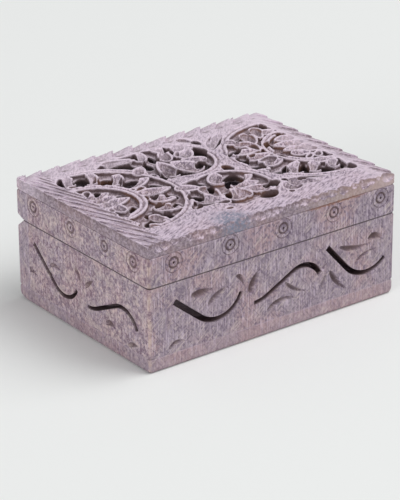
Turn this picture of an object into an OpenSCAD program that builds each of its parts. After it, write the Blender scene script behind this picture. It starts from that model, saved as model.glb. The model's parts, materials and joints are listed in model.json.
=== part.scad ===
// Carved soapstone trinket box with a pierced, hinged lid.
// Millimetres. Origin in the middle of the base, on the surface the box stands on.
// X runs along the front, Y runs from the front to the back, Z runs up.

/* [Box] */
// Width of the box along its front
box_w = 102; // [96:1:130]
// Depth of the box from front to back
box_d = 75; // [70:1:95]
// Thickness of the slab that the walls stand on
base_t = 5; // [4:0.5:8]
// Height of the four walls
wall_h = 24.6; // [22:0.2:36]
// Thickness of the walls and of the rims of the lid
wall_t = 6.5; // [6:0.5:8]
// Rounding of the upright outer corners
corner_r = 0.8; // [0.4:0.1:1.5]
// Rounding of the front and side edges that the box stands on
foot_r = 1.4; // [0.6:0.1:2.4]
// Rounding of the back edge that the box stands on, worn the most
back_foot_r = 3; // [1:0.2:3.6]

/* [Lid] */
// Height of the rims under the pierced panel
rim_h = 10.2; // [9:0.2:14]
// Thickness of the pierced panel
panel_t = 4.2; // [3.6:0.2:6]

/* [Hinges] */
// How far the two bevels along the back of the joint reach in
bevel_in = 4.1; // [3.8:0.1:4.6]
// Rise of the bevel under the lid
lid_bevel = 1.9; // [1.5:0.1:2.2]
// Fall of the bevel on the body
body_bevel = 3.3; // [3.1:0.1:3.8]
// Thickness of the hinge wire
wire_d = 1; // [0.8:0.1:1.1]
// Play of the staple in its eye, all round
eye_play = 0.1; // [0.06:0.02:0.16]
// Play of a wire in the hole it is set in, all round
set_play = 0.06; // [0.04:0.02:0.1]
// Distance of the hinge axis in from the back face
axis_in = 2.2; // [2:0.1:2.3]
// Depth of the hinge axis below the joint
axis_drop = 0.3; // [0.2:0.05:0.5]
// Distance of each hinge from the end of the back
hinge_in = 21; // [15:1:31]
// Length of the shank of an eye, from the hinge axis
shank_l = 8; // [6:0.5:10]
// Lean of the shank towards the front, from the upright
shank_lean = 20; // [15:1:22]
// Length of a leg of a staple, from its bend
leg_l = 6; // [5:0.5:7]
// Lean of the legs towards the front, from the upright
leg_lean = 26; // [20:1:26]
// Distance from the eye to each leg
leg_x = 2.2; // [2:0.1:3]
// Bend of the wire from bridge to leg
bend_r = 0.9; // [0.7:0.1:1.1]
// Clearance round the fixed eye where the lid turns past it
eye_clear = 0.3; // [0.2:0.05:0.4]

/* [Wall carving] */
// Width of the curved slots cut through the front and back
slot_w = 1.9; // [1.2:0.1:2.6]
// Width of the curved slots cut through the sides
side_slot_w = 1.6; // [1.2:0.1:2.6]
// Depth of the leaf cuts beside the slots
leaf_cut = 0.5; // [0.2:0.1:1]
// Width of the leaf cuts
leaf_cut_w = 1.7; // [1.2:0.1:2.4]
// Outer radius of the ring marks on the lid
mark_r = 3.1; // [2.4:0.1:3.6]
// Radius of the inner ring of a mark
mark_inner_r = 1.9; // [1.3:0.1:2]
// Width of a ring groove
mark_groove = 0.45; // [0.3:0.05:0.6]
// Depth of a ring groove
mark_depth = 0.3; // [0.15:0.05:0.5]
// Height of the middle of the marks above the joint
mark_z = 6.8; // [5.6:0.1:7]

/* [Panel carving] */
// Border kept at the front
border_front = 9.8; // [7:0.2:12]
// Border kept at the back
border_back = 6.8; // [5:0.2:9]
// Border kept at the left
border_left = 8.2; // [6:0.2:10]
// Border kept at the right
border_right = 5.4; // [5:0.2:9]
// Width of the main stems
stem_w = 2.4; // [1.8:0.1:3.2]
// Width of the finer stems
fine_stem_w = 2; // [1.4:0.1:2.6]
// Room between a fan's outer stem and the borders
fan_room = 2.2; // [1.4:0.1:3]
// Radius of a fan's inner stem
fan_inner_r = 15; // [13:0.5:17]
// Offset of the outer stem from the inner one
fan_offset = 3.4; // [2.4:0.2:5]
// Leaves between the two stems of a fan
fan_leaves = 9; // [7:1:10]
// Leaves inside the inner stem
heart_leaves = 5; // [4:1:6]
// Width of a leaf of a fan
leaf_w = 5; // [3.6:0.1:5.6]
// Width of a leaf at the heart of a fan
heart_leaf_w = 5.2; // [4:0.1:5.6]
// Width of a leaf of a bud
bud_leaf_w = 4.6; // [3.6:0.1:5]
// Radius of the hub that the leaves of a bud grow from
hub_r = 2.2; // [1.6:0.1:3]
// Solid kept along the border in the left corners of the field
corner_web = 22; // [18:1:24]
// Solid strip between a left corner's leaf and the border
corner_strip = 4; // [3:0.2:5]
// Height above the middle line where the solid of a right corner starts
corner_low = 4; // [3:0.5:8]
// Width of the slit beside the outer stem of the right fan
slit_w = 1.5; // [1:0.1:2]
// Rim left round the scoop of a leaf
leaf_rim = 0.8; // [0.5:0.1:1.2]
// Depth of the scoop of a leaf
scoop = 1.3; // [0.6:0.1:2]
// Spacing of the gouge strokes along the borders
gouge_pitch = 7.5; // [6:0.5:10]
// Depth of a gouge stroke at its deep end
gouge_depth = 1.3; // [0.8:0.1:1.8]
// Width of a gouge stroke at its deep end
gouge_w = 3.2; // [2:0.1:4]

/* [Hidden] */
$fn = 48;

stone = "#a494a0";
brass = "#8c7a4a";
cut = 1; // overlap of a cutting shape past the face it opens
join = 0.4; // overlap of a leaf with the stem it grows from

joint_z = base_t + wall_h;
panel_z = joint_z + rim_h;
wall_mid = base_t + wall_h / 2;
front_y = -box_d / 2;
back_y = box_d / 2;

wire_r = wire_d / 2;
eye_bore_r = wire_r + eye_play;
ring_r = eye_bore_r + wire_r;
eye_r = ring_r + wire_r;
shank_r = 0.9 * wire_r;
hinge_x = box_w / 2 - hinge_in;
axis_y = back_y - axis_in;
axis_z = joint_z - axis_drop;

// Curved slots of the long walls and of the short walls: place of the bow's centre along the
// wall as a share of its length, its height from the middle of the wall, its radius, the angles
// it starts and ends at, and the straight run that leads into it.
long_hooks = [[-0.236, 5.1, 10.4, 231, 340, 13.5], [0.38, 4.9, 11.1, 222, 317, 13]];
long_waves = [[0.11, -4.7, 8.3, 24, 117, 12]];
short_hooks = [[-0.133, 1.1, 8, 229, 335, 16.5]];
short_waves = [[0.303, -7.8, 8.7, 22, 115, 11]];
wave_tail_r = 13;
wave_tail_sweep = 26;
// Straight pieces that an arc and a round end of a slot are drawn with.
arc_steps = 16;
end_steps = 8;

// Leaf cuts beside the slots: share along the wall, height from its middle, length, turn.
long_leaves = [
    [-0.39, -9, 7, 8], [-0.29, 5.5, 8, 0], [-0.227, 2.7, 10, 25], [-0.145, 5.9, 5, -55],
    [-0.083, 4, 9, 56], [0.025, -6.1, 12, 4], [0.083, -3.6, 11, -28], [0.194, -5.6, 7, 66],
    [0.264, -5.8, 11, -48], [0.33, 4.4, 12, -5], [0.375, 0.5, 9, 20], [0.419, 6, 6.5, -22]
];
short_leaves = [
    [-0.35, -5.6, 7, 12], [-0.2, 1.5, 6, 0], [-0.045, 3.2, 5, 27], [0.065, 2.3, 5, 35],
    [0.215, -8.4, 6, 18], [0.38, -10, 6, 18]
];

// Ring marks: shares along the wall from its left end.
long_marks = [0.097, 0.318, 0.53, 0.74, 0.938];
short_marks = [0.135, 0.425, 0.68, 0.888];

field_w = box_w - border_left - border_right;
field_d = box_d - border_front - border_back;
field_x = (border_left - border_right) / 2;
field_y = (border_front - border_back) / 2;
fan_r = field_d / 2 - fan_room;
fan_x = -field_w / 2 + fan_offset;
bud_r = field_d / 4;

// Shift of the buds along the front, at the back and at the front.
bud_x = [-2, 0];
// Place of a bud's hub from the middle of its ring, for the bud at the back.
bud_hub = [-4, 0.5];
// Directions of the leaves of the bud at the back; the bud at the front mirrors them.
bud_leaves = [92, 66, 40, 14, -14, -42, -70, -98, -130, 165, 128];
// Where a leaf between bud, fan and border leaves the ring of the bud, and its direction.
corner_from = 128;
corner_to = 192;
// Where the slit beside the right fan's outer stem starts and ends, and its distance from it.
slit_from = 40;
slit_to = 64;
slit_gap = 0.6;
// The small leaf-shaped hole beside a bud in a right corner: place on the bud, way out, length.
corner_hole_from = 149;
corner_hole_out = 2.6;
corner_hole_l = 5.6;
corner_hole_w = 3;
fan_half_spread = 78;
heart_half_spread = 66;
fan_lean = 0.88;

// Length and slant of the gouge strokes on each border.
back_stroke = 7;
back_slant = 32;
front_stroke = 2;
right_stroke = 8;
right_slant = 27;
left_stroke = 18;
left_slant = 20;

function polar(r, a) = [r * cos(a), r * sin(a)];

// Way from point p along direction a to a circle of radius r at the origin: to its far side
// from within, and to its near side from without.
function reach(p, a, r) =
    let (d = p * polar(1, a), half = sqrt(d * d - p * p + r * r))
    norm(p) < r ? half - d : -half - d;

function spread(n, half, i) = half - 2 * half * i / (n - 1);

// Points along an arc of radius r about c.
function arc(c, r, from, to) =
    [for (i = [0:arc_steps]) c + polar(r, from + (to - from) * i / arc_steps)];

// A straight run of length l that leads into an arc about the origin.
function hook(r, from, to, l) =
    concat([polar(r, from) + polar(l, from - 90)], arc([0, 0], r, from, to));

// An arc about the origin, a straight run of length l down from its end and a tail that levels out.
function wave(r, from, to, l) =
    let (tail = polar(r, to) + polar(l, to + 90) + polar(wave_tail_r, to), turn = to + 180)
    concat(arc([0, 0], r, from, to), arc(tail, wave_tail_r, turn, turn - wave_tail_sweep));

// Direction of a path at its point i.
function heading(path, i) =
    let (way = path[min(i + 1, len(path) - 1)] - path[max(i - 1, 0)])
    atan2(way.y, way.x);

// Outline of a band of width w along a path: up its left side, round its end, and back.
function band_outline(path, w) =
    let (last = len(path) - 1, r = w / 2)
    concat(
        [for (i = [0:last]) path[i] + polar(r, heading(path, i) + 90)],
        [for (k = [1:end_steps - 1]) path[last] + polar(r, heading(path, last) + 90 - k * 180 / end_steps)],
        [for (i = [last:-1:0]) path[i] + polar(r, heading(path, i) - 90)],
        [for (k = [1:end_steps - 1]) path[0] + polar(r, heading(path, 0) - 90 - k * 180 / end_steps)]
    );

// Flat shapes

module rounded_plan() {
    w = box_w - 2 * corner_r;
    d = box_d - 2 * corner_r;
    square([box_w, d], center = true);
    square([w, box_d], center = true);
    for (x = [-w / 2, w / 2], y = [-d / 2, d / 2])
        translate([x, y])
            circle(corner_r);
}

// A rectangle on the ground line whose two lower corners are rounded.
module footed_profile(w, h, left_r, right_r) {
    difference() {
        translate([-w / 2, 0])
            square([w, h]);
        translate([-w / 2, 0])
            foot_corner(left_r);
        translate([w / 2, 0])
            mirror([1, 0])
                foot_corner(right_r);
    }
}

module foot_corner(r) {
    difference() {
        translate([-cut, -cut])
            square(r + cut);
        translate([r, r])
            circle(r);
    }
}

// A pointed leaf from the origin along +X: the space shared by two circles.
module leaf(l, w) {
    r = (l * l + w * w) / (4 * w);
    intersection() {
        translate([l / 2, w / 2 - r])
            circle(r, $fn = 96);
        translate([l / 2, r - w / 2])
            circle(r, $fn = 96);
    }
}

module ring(r, w) {
    difference() {
        circle(r + w / 2, $fn = 96);
        circle(r - w / 2, $fn = 96);
    }
}

// A band of width w along a path, with round ends.
module band(path, w) {
    polygon(band_outline(path, w));
}

// Places: on a face, X runs to the right as it is seen, Y up and Z out of the stone.

module on_front() {
    translate([0, front_y, 0])
        rotate([90, 0, 0])
            children();
}

module on_back() {
    translate([0, back_y, 0])
        rotate([90, 0, 180])
            children();
}

module on_left() {
    translate([-box_w / 2, 0, 0])
        rotate([90, 0, -90])
            children();
}

module on_right() {
    translate([box_w / 2, 0, 0])
        rotate([90, 0, 90])
            children();
}

module on_hinge_axis(x) {
    translate([x, axis_y, axis_z])
        children();
}

// Cuts

// Slots and leaf cuts of one wall of length l, w wide.
module wall_cuts(l, w, hooks, waves, leaves) {
    translate([0, wall_mid, -wall_t - cut])
        linear_extrude(wall_t + 2 * cut) {
            for (h = hooks)
                translate([h[0] * l, h[1]])
                    band(hook(h[2], h[3], h[4], h[5]), w);
            for (h = waves)
                translate([h[0] * l, h[1]])
                    band(wave(h[2], h[3], h[4], h[5]), w);
        }
    for (p = leaves)
        translate([p[0] * l, wall_mid + p[1], -leaf_cut])
            rotate(p[3])
                translate([-p[2] / 2, 0, 0])
                    linear_extrude(leaf_cut + cut)
                        leaf(p[2], leaf_cut_w);
}

// Ring marks of one rim of length l.
module rim_marks(l, shares) {
    for (s = shares)
        translate([(s - 0.5) * l, joint_z + mark_z, -mark_depth])
            linear_extrude(mark_depth + cut) {
                ring(mark_r - mark_groove / 2, mark_groove);
                ring(mark_inner_r - mark_groove / 2, mark_groove);
                circle(mark_groove);
            }
}

// A bevel along the back of the joint, rising (lid) or falling (body) towards the back face.
module back_bevel(rise, away) {
    slope = rise / bevel_in;
    rotate([90, 0, 90])
        translate([back_y - bevel_in, joint_z])
            linear_extrude(box_w + 2 * cut, center = true)
                polygon([
                    [0, 0],
                    [bevel_in + cut, slope * (bevel_in + cut)],
                    [bevel_in + cut, away],
                    [0, away]
                ]);
}

// Part of the plan of the box: a strip along one side.
module strip(x0, y0, x1, y1, h) {
    linear_extrude(h)
        intersection() {
            rounded_plan();
            translate([x0, y0])
                square([x1 - x0, y1 - y0]);
        }
}

// The four sides go round like a pinwheel: each butts against the next and laps the one before.

module front_strip(h) {
    strip(wall_t - box_w / 2, front_y, box_w / 2, front_y + wall_t, h);
}

module back_strip(h) {
    strip(-box_w / 2, back_y - wall_t, box_w / 2 - wall_t, back_y, h);
}

module left_strip(h) {
    strip(-box_w / 2, front_y, wall_t - box_w / 2, back_y - wall_t, h);
}

module right_strip(h) {
    strip(box_w / 2 - wall_t, front_y + wall_t, box_w / 2, back_y, h);
}

// Body

module base_slab() {
    color(stone)
        intersection() {
            linear_extrude(base_t)
                rounded_plan();
            rotate([90, 0, 90])
                linear_extrude(box_w, center = true)
                    footed_profile(box_d, base_t, foot_r, back_foot_r);
            rotate([90, 0, 0])
                linear_extrude(box_d, center = true)
                    footed_profile(box_w, base_t, foot_r, foot_r);
        }
}

module front_wall() {
    color(stone)
        difference() {
            translate([0, 0, base_t])
                front_strip(wall_h);
            on_front()
                wall_cuts(box_w, slot_w, long_hooks, long_waves, long_leaves);
        }
}

module back_wall() {
    color(stone)
        difference() {
            translate([0, 0, base_t])
                back_strip(wall_h);
            back_bevel(-body_bevel, cut);
            on_back()
                wall_cuts(box_w, slot_w, long_hooks, long_waves, long_leaves);
            for (x = [-hinge_x, hinge_x])
                on_hinge_axis(x)
                    eye_seat();
        }
}

module left_wall() {
    color(stone)
        difference() {
            translate([0, 0, base_t])
                left_strip(wall_h);
            back_bevel(-body_bevel, cut);
            on_left()
                wall_cuts(box_d, side_slot_w, short_hooks, short_waves, short_leaves);
        }
}

module right_wall() {
    color(stone)
        difference() {
            translate([0, 0, base_t])
                right_strip(wall_h);
            back_bevel(-body_bevel, cut);
            on_right()
                wall_cuts(box_d, side_slot_w, short_hooks, short_waves, short_leaves);
        }
}

// Lid

module lid_front_rim() {
    color(stone)
        difference() {
            translate([0, 0, joint_z])
                front_strip(rim_h);
            on_front()
                rim_marks(box_w, long_marks);
        }
}

module lid_back_rim() {
    color(stone)
        difference() {
            translate([0, 0, joint_z])
                back_strip(rim_h);
            back_bevel(lid_bevel, -cut);
            on_back()
                rim_marks(box_w, long_marks);
            for (x = [-hinge_x, hinge_x])
                on_hinge_axis(x)
                    staple_seat();
        }
}

module lid_left_rim() {
    color(stone)
        difference() {
            translate([0, 0, joint_z])
                left_strip(rim_h);
            back_bevel(lid_bevel, -cut);
            on_left()
                rim_marks(box_d, short_marks);
        }
}

module lid_right_rim() {
    color(stone)
        difference() {
            translate([0, 0, joint_z])
                right_strip(rim_h);
            back_bevel(lid_bevel, -cut);
            on_right()
                rim_marks(box_d, short_marks);
        }
}

// Pierced panel, drawn about the middle of its carved field

// A leaf from p in direction a, drawn in by rim all round: 0 for the blade, more for its scoop.
module blade(p, a, l, w, rim) {
    tip = rim / sin(2 * atan(w / l));
    translate(p + polar(tip, a))
        rotate(a)
            leaf(l - 2 * tip, w - 2 * rim);
}

// The fan at the left: leaves between its stems, and the smaller ones at its heart.
module fan_blades(rim) {
    hub = [-field_w / 2, 0];
    for (i = [0:fan_leaves - 1]) {
        a = spread(fan_leaves, fan_half_spread, i);
        base = hub + polar(fan_inner_r, a);
        lean = fan_lean * a;
        blade(base, lean, reach(base - [fan_x, 0], lean, fan_r) + join, leaf_w, rim);
    }
    for (i = [0:heart_leaves - 1]) {
        a = spread(heart_leaves, heart_half_spread, i);
        blade(hub + polar(hub_r, a), a, fan_inner_r - hub_r + join, heart_leaf_w, rim);
    }
}

// A bud at the back: leaves round a hub, each reaching the ring.
module bud_blades(rim) {
    for (a = bud_leaves) {
        base = bud_hub + polar(hub_r - join, a);
        blade(base, a, reach(base, a, bud_r) + join, bud_leaf_w, rim);
    }
}

// The leaf that fills the back left corner between bud, fan and border.
module corner_blade(rim, shift) {
    base = [shift, bud_r] + polar(bud_r, corner_from);
    blade(base, corner_to, reach(base - [fan_x, 0], corner_to, fan_r) + join, leaf_w, rim);
}

module panel_leaves(rim) {
    for (side = [0, 1])
        mirror([side, 0])
            fan_blades(rim);
    for (end = [0, 1])
        mirror([0, end]) {
            translate([bud_x[end], bud_r])
                bud_blades(rim);
            corner_blade(rim, bud_x[end]);
        }
}

// The back left corner, kept solid outside fan and bud: w wide, and from low up to the border.
module corner_solid(w, low, shift) {
    difference() {
        translate([-field_w / 2, low])
            square([w, field_d / 2 - low]);
        translate([fan_x, 0])
            circle(fan_r, $fn = 96);
        translate([shift, bud_r])
            circle(bud_r, $fn = 96);
    }
}

// The same corner kept solid as far as the bud, with a slit along the stem and a small hole.
module slit_corner(shift) {
    difference() {
        corner_solid(field_w / 2 + shift, corner_low, shift);
        band(arc([fan_x, 0], fan_r + stem_w / 2 + slit_gap + slit_w / 2, slit_from, slit_to), slit_w);
        translate([shift, bud_r] + polar(bud_r + corner_hole_out, corner_hole_from))
            rotate(90)
                leaf(corner_hole_l, corner_hole_w);
    }
}

module panel_stems() {
    for (side = [0, 1])
        mirror([side, 0]) {
            translate([-field_w / 2, 0])
                ring(fan_inner_r, fine_stem_w);
            translate([fan_x, 0])
                ring(fan_r, stem_w);
        }
    for (end = [0, 1])
        mirror([0, end]) {
            translate([bud_x[end], bud_r]) {
                ring(bud_r, fine_stem_w);
                translate(bud_hub)
                    circle(hub_r);
            }
            corner_solid(corner_web, bud_r, bud_x[end]);
            corner_solid(field_w / 2 + bud_x[end], field_d / 2 - corner_strip, bud_x[end]);
            mirror([1, 0])
                slit_corner(-bud_x[end]);
        }
    square([field_w - 2 * fan_r, stem_w], center = true);
}

module panel_openwork() {
    intersection() {
        square([field_w, field_d], center = true);
        union() {
            panel_stems();
            panel_leaves(0);
        }
    }
}

// A gouge stroke from the origin along +X, deepening towards its far end. Lean is the share of
// its width on its left: at a half, both flanks are alike.
module gouge(l, lean) {
    left = lean * gouge_w;
    right = gouge_w - left;
    rotate([0, atan(gouge_depth / l), 0])
        rotate([90, 0, 90])
            linear_extrude(l + cut)
                polygon([
                    [0, 0],
                    [left, gouge_depth],
                    [left, 2 * gouge_depth],
                    [-right, 2 * gouge_depth],
                    [-right, gouge_depth]
                ]);
}

module lid_panel() {
    color(stone)
        translate([0, 0, panel_z])
            difference() {
                linear_extrude(panel_t) {
                    difference() {
                        rounded_plan();
                        translate([field_x, field_y])
                            square([field_w, field_d], center = true);
                    }
                    translate([field_x, field_y])
                        panel_openwork();
                }
                translate([field_x, field_y, panel_t - scoop])
                    linear_extrude(scoop + cut)
                        panel_leaves(leaf_rim);
                translate([0, 0, panel_t])
                    border_gouges();
            }
}

// Strokes along the four borders: slanting out over the back and right edges, slanting in
// along the left border, and short chips on the front edge.
module border_gouges() {
    long_n = floor(box_w / gouge_pitch);
    short_n = floor(box_d / gouge_pitch);
    for (i = [0:long_n - 1]) {
        x = (i + 0.5 - long_n / 2) * gouge_pitch;
        translate([x, back_y - back_stroke * sin(back_slant), 0])
            rotate(back_slant)
                gouge(back_stroke, 0.15);
        translate([x, front_y + front_stroke, 0])
            rotate(-90)
                gouge(front_stroke, 0.5);
    }
    for (i = [0:short_n - 1]) {
        y = (i + 0.5 - short_n / 2) * gouge_pitch;
        translate([box_w / 2 - right_stroke * sin(right_slant), y, 0])
            rotate(right_slant - 90)
                gouge(right_stroke, 0.8);
        translate([-box_w / 2 + left_stroke * sin(left_slant), y, 0])
            rotate(90 + left_slant)
                gouge(left_stroke, 0.3);
    }
}

// Hinges

// A ring of wire round the hinge axis on a shank that leans down into the back wall.
module hinge_eye(x) {
    color(brass)
        on_hinge_axis(x) {
            rotate([0, 90, 0])
                rotate_extrude()
                    translate([ring_r, 0])
                        circle(wire_r);
            rotate([180 - shank_lean, 0, 0])
                translate([0, 0, ring_r])
                    cylinder(h = shank_l - ring_r, r = shank_r);
        }
}

// The nick and the hole in the back wall that an eye sits in.
module eye_seat() {
    rotate([0, 90, 0])
        cylinder(h = wire_d + 2 * set_play, r = eye_r + set_play, center = true);
    rotate([180 - shank_lean, 0, 0])
        cylinder(h = shank_l + set_play, r = shank_r + set_play);
}

// A bridge of wire through the eye, bent up at both ends into legs set in the lid.
module hinge_staple(x) {
    bridge = leg_x - bend_r;
    color(brass)
        on_hinge_axis(x)
            rotate([leg_lean, 0, 0]) {
                rotate([0, 90, 0])
                    cylinder(h = 2 * bridge, r = wire_r, center = true);
                for (side = [0, 1])
                    mirror([side, 0, 0]) {
                        translate([bridge, 0, bend_r])
                            rotate([90, 90, 0])
                                rotate_extrude(angle = 90)
                                    translate([bend_r, 0])
                                        circle(wire_r);
                        translate([leg_x, 0, bend_r])
                            cylinder(h = leg_l, r = wire_r);
                    }
            }
}

// Holes for the legs of a staple, and room for the eye to pass as the lid turns.
module staple_seat() {
    rotate([leg_lean, 0, 0])
        for (x = [-leg_x, leg_x])
            translate([x, 0, 0])
                cylinder(h = bend_r + leg_l + set_play, r = wire_r + set_play);
    rotate([0, 90, 0])
        cylinder(h = wire_d + 2 * eye_clear, r = eye_r + eye_clear, center = true);
}

module hinge_eye_left() { hinge_eye(-hinge_x); }
module hinge_eye_right() { hinge_eye(hinge_x); }
module hinge_staple_left() { hinge_staple(-hinge_x); }
module hinge_staple_right() { hinge_staple(hinge_x); }

base_slab();
front_wall();
back_wall();
left_wall();
right_wall();
hinge_eye_left();
hinge_eye_right();
lid_panel();
lid_front_rim();
lid_back_rim();
lid_left_rim();
lid_right_rim();
hinge_staple_left();
hinge_staple_right();
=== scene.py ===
# %% [markdown]
# # A carved soapstone trinket box
#
# The box is fourteen pieces: a base slab, four walls, four lid rims, a pierced lid panel and
# the wire eyes and staples of two hinges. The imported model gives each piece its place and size.
# This lesson gives every piece its look: worn stone with sawn slots, gouged leaves and drilled
# rings, and a lid panel that is carved right through.

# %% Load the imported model
import json
import math
import random

import bmesh
import bpy
from mathutils import Matrix, Vector


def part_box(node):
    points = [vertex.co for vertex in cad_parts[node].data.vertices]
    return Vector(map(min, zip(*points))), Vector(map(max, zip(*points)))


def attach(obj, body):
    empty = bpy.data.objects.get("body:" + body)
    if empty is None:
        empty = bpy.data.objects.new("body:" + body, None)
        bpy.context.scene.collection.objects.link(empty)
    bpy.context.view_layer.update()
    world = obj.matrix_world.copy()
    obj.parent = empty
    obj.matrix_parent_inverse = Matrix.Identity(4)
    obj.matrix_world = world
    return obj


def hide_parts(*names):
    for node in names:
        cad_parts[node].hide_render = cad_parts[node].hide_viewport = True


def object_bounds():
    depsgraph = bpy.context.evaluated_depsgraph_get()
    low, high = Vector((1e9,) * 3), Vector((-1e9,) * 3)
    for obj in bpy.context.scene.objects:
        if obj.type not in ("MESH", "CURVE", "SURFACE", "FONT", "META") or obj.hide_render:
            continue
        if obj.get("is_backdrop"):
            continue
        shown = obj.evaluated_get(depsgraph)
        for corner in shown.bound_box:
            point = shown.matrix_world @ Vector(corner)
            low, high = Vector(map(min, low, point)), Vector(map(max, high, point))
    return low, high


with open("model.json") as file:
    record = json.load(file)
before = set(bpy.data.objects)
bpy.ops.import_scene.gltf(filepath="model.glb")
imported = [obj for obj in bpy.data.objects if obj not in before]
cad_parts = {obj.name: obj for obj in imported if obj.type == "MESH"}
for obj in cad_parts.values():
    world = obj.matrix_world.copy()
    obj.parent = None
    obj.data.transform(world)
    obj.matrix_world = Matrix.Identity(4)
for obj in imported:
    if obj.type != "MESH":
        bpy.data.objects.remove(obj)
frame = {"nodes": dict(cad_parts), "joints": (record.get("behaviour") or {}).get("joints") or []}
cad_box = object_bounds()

MM = 0.001


def corners_mm(node):
    """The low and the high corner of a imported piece, in millimetres."""
    return [Vector(corner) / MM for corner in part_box(node)]


(low_x, low_y, _), (high_x, high_y, top_z) = [[c / MM for c in corner] for corner in cad_box]
JOINT_Z = corners_mm("front_wall")[1].z
PANEL_Z = corners_mm("lid_panel")[0].z
print("nodes:", ", ".join(sorted(frame["nodes"])))
print("CAD box in mm:", [round(x / MM, 2) for corner in cad_box for x in corner])
print("joint at", round(JOINT_Z, 2), "and panel from", round(PANEL_Z, 2), "to", round(top_z, 2))

# %% [markdown]
# ## Writing node trees as sums
#
# A node tree is easier to read as a line of arithmetic than as forty boxes and wires. The small
# class below wraps an output socket, so that `1 - mask` or `width * share` adds the Math node
# by itself. Every other node comes from one method, `add`, which sets the node's options first
# and then fills or links its sockets. Shader trees and Geometry Nodes trees both use it.

# %% A socket that can be reckoned with
class Socket:
    """An output socket that sums and products use like a number."""

    def __init__(self, tree, socket):
        self.tree = tree
        self.socket = socket

    def of(self, name):
        """Another output of the same node."""
        return Socket(self.tree, self.socket.node.outputs[name])

    def math(self, operation, first, second=0.0):
        return self.tree.add("ShaderNodeMath", {0: first, 1: second}, operation=operation)

    def __add__(self, other):
        return self.math("ADD", self, other)

    def __radd__(self, other):
        return self.math("ADD", other, self)

    def __sub__(self, other):
        return self.math("SUBTRACT", self, other)

    def __rsub__(self, other):
        return self.math("SUBTRACT", other, self)

    def __mul__(self, other):
        return self.math("MULTIPLY", self, other)

    def __rmul__(self, other):
        return self.math("MULTIPLY", other, self)

    def __truediv__(self, other):
        return self.math("DIVIDE", self, other)

    def __rtruediv__(self, other):
        return self.math("DIVIDE", other, self)

    def __pow__(self, other):
        return self.math("POWER", self, other)

    def least(self, other):
        return self.math("MINIMUM", self, other)

    def most(self, other):
        return self.math("MAXIMUM", self, other)

    def call(self, operation):
        """A function of one number, such as ABSOLUTE."""
        return self.math(operation, self)

    def rise(self, low, high):
        """0 below low, 1 above high, and a smooth step between."""
        ends = {"Value": self, "From Min": low, "From Max": high}
        return self.tree.add("ShaderNodeMapRange", ends, interpolation_type="SMOOTHSTEP")

# %% A tree that makes every node in one way
class Tree:
    """A node tree whose nodes are all made by one method."""

    def __init__(self, nodes):
        self.nodes = nodes

    def add(self, kind, sockets=None, out=0, **settings):
        """Adds a node: its settings, then its sockets' values or links. Returns one output."""
        node = self.nodes.nodes.new(kind)
        for name, value in settings.items():
            setattr(node, name, value)
        for name, value in (sockets or {}).items():
            for item in value if isinstance(value, list) else [value]:
                if isinstance(item, Socket):
                    self.nodes.links.new(item.socket, node.inputs[name])
                else:
                    node.inputs[name].default_value = item
        return Socket(self, node.outputs[out]) if node.outputs else None

    def vector(self, operation, first, second=(0, 0, 0), out=0):
        return self.add("ShaderNodeVectorMath", {0: first, 1: second}, out, operation=operation)

    def scaled(self, vector, factor):
        return self.add("ShaderNodeVectorMath", {0: vector, "Scale": factor}, operation="SCALE")

    def parts(self, vector):
        split = self.add("ShaderNodeSeparateXYZ", {0: vector})
        return split, split.of("Y"), split.of("Z")

    def joined(self, x, y, z):
        return self.add("ShaderNodeCombineXYZ", {0: x, 1: y, 2: z})

    def mix(self, factor, first, second):
        """Two colours mixed. The colour sockets of a Mix node are 6, 7 and output 2."""
        return self.add("ShaderNodeMix", {0: factor, 6: first, 7: second}, 2, data_type="RGBA")

    def noise(self, place, scale, detail=3.0, roughness=0.6):
        """A cloudy number from about 0.2 to 0.8."""
        sockets = {"Vector": place, "Scale": scale, "Detail": detail, "Roughness": roughness}
        return self.add("ShaderNodeTexNoise", sockets)

# %% A Geometry Nodes tree with named inputs
class GeometryTree(Tree):
    """A tree that takes points or a mesh, a material and sizes by name."""

    KINDS = {float: "NodeSocketFloat", tuple: "NodeSocketVector"}

    def __init__(self, name, inputs):
        super().__init__(bpy.data.node_groups.new(name, "GeometryNodeTree"))
        face = self.nodes.interface
        face.new_socket("Geometry", in_out="INPUT", socket_type="NodeSocketGeometry")
        face.new_socket("Geometry", in_out="OUTPUT", socket_type="NodeSocketGeometry")
        face.new_socket("Material", in_out="INPUT", socket_type="NodeSocketMaterial")
        for title, value in inputs.items():
            socket = face.new_socket(title, in_out="INPUT", socket_type=self.KINDS[type(value)])
            socket.default_value = value
        self.source = self.nodes.nodes.new("NodeGroupInput")
        self.target = self.nodes.nodes.new("NodeGroupOutput")

    def given(self, name):
        return Socket(self, self.source.outputs[name])

    def attribute(self, name, kind="FLOAT"):
        return self.add("GeometryNodeInputNamedAttribute", {"Name": name}, data_type=kind)

    def store(self, geometry, name, value, kind="FLOAT_VECTOR"):
        sockets = {"Geometry": geometry, "Name": name, "Value": value}
        return self.add("GeometryNodeStoreNamedAttribute", sockets, data_type=kind, domain="POINT")

    def position(self):
        return self.add("GeometryNodeInputPosition")

    def moved(self, geometry, place):
        return self.add("GeometryNodeSetPosition", {"Geometry": geometry, "Position": place})

    def close(self, geometry):
        """Ends the tree in real geometry with its material."""
        real = self.add("GeometryNodeRealizeInstances", {"Geometry": geometry})
        sockets = {"Geometry": real, "Material": self.given("Material")}
        last = self.add("GeometryNodeSetMaterial", sockets)
        self.nodes.links.new(last.socket, self.target.inputs[0])
        return self.nodes


# %% Using a tree on an object
def new_object(name, vertices=(), edges=(), faces=(), attributes=None):
    """An object at the origin with its own mesh and numbers on its points."""
    mesh = bpy.data.meshes.new(name)
    mesh.from_pydata(vertices, edges, faces)
    for title, values in (attributes or {}).items():
        mesh.attributes.new(title, "FLOAT", "POINT").data.foreach_set("value", values)
    made = bpy.data.objects.new(name, mesh)
    bpy.context.scene.collection.objects.link(made)
    return made


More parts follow.
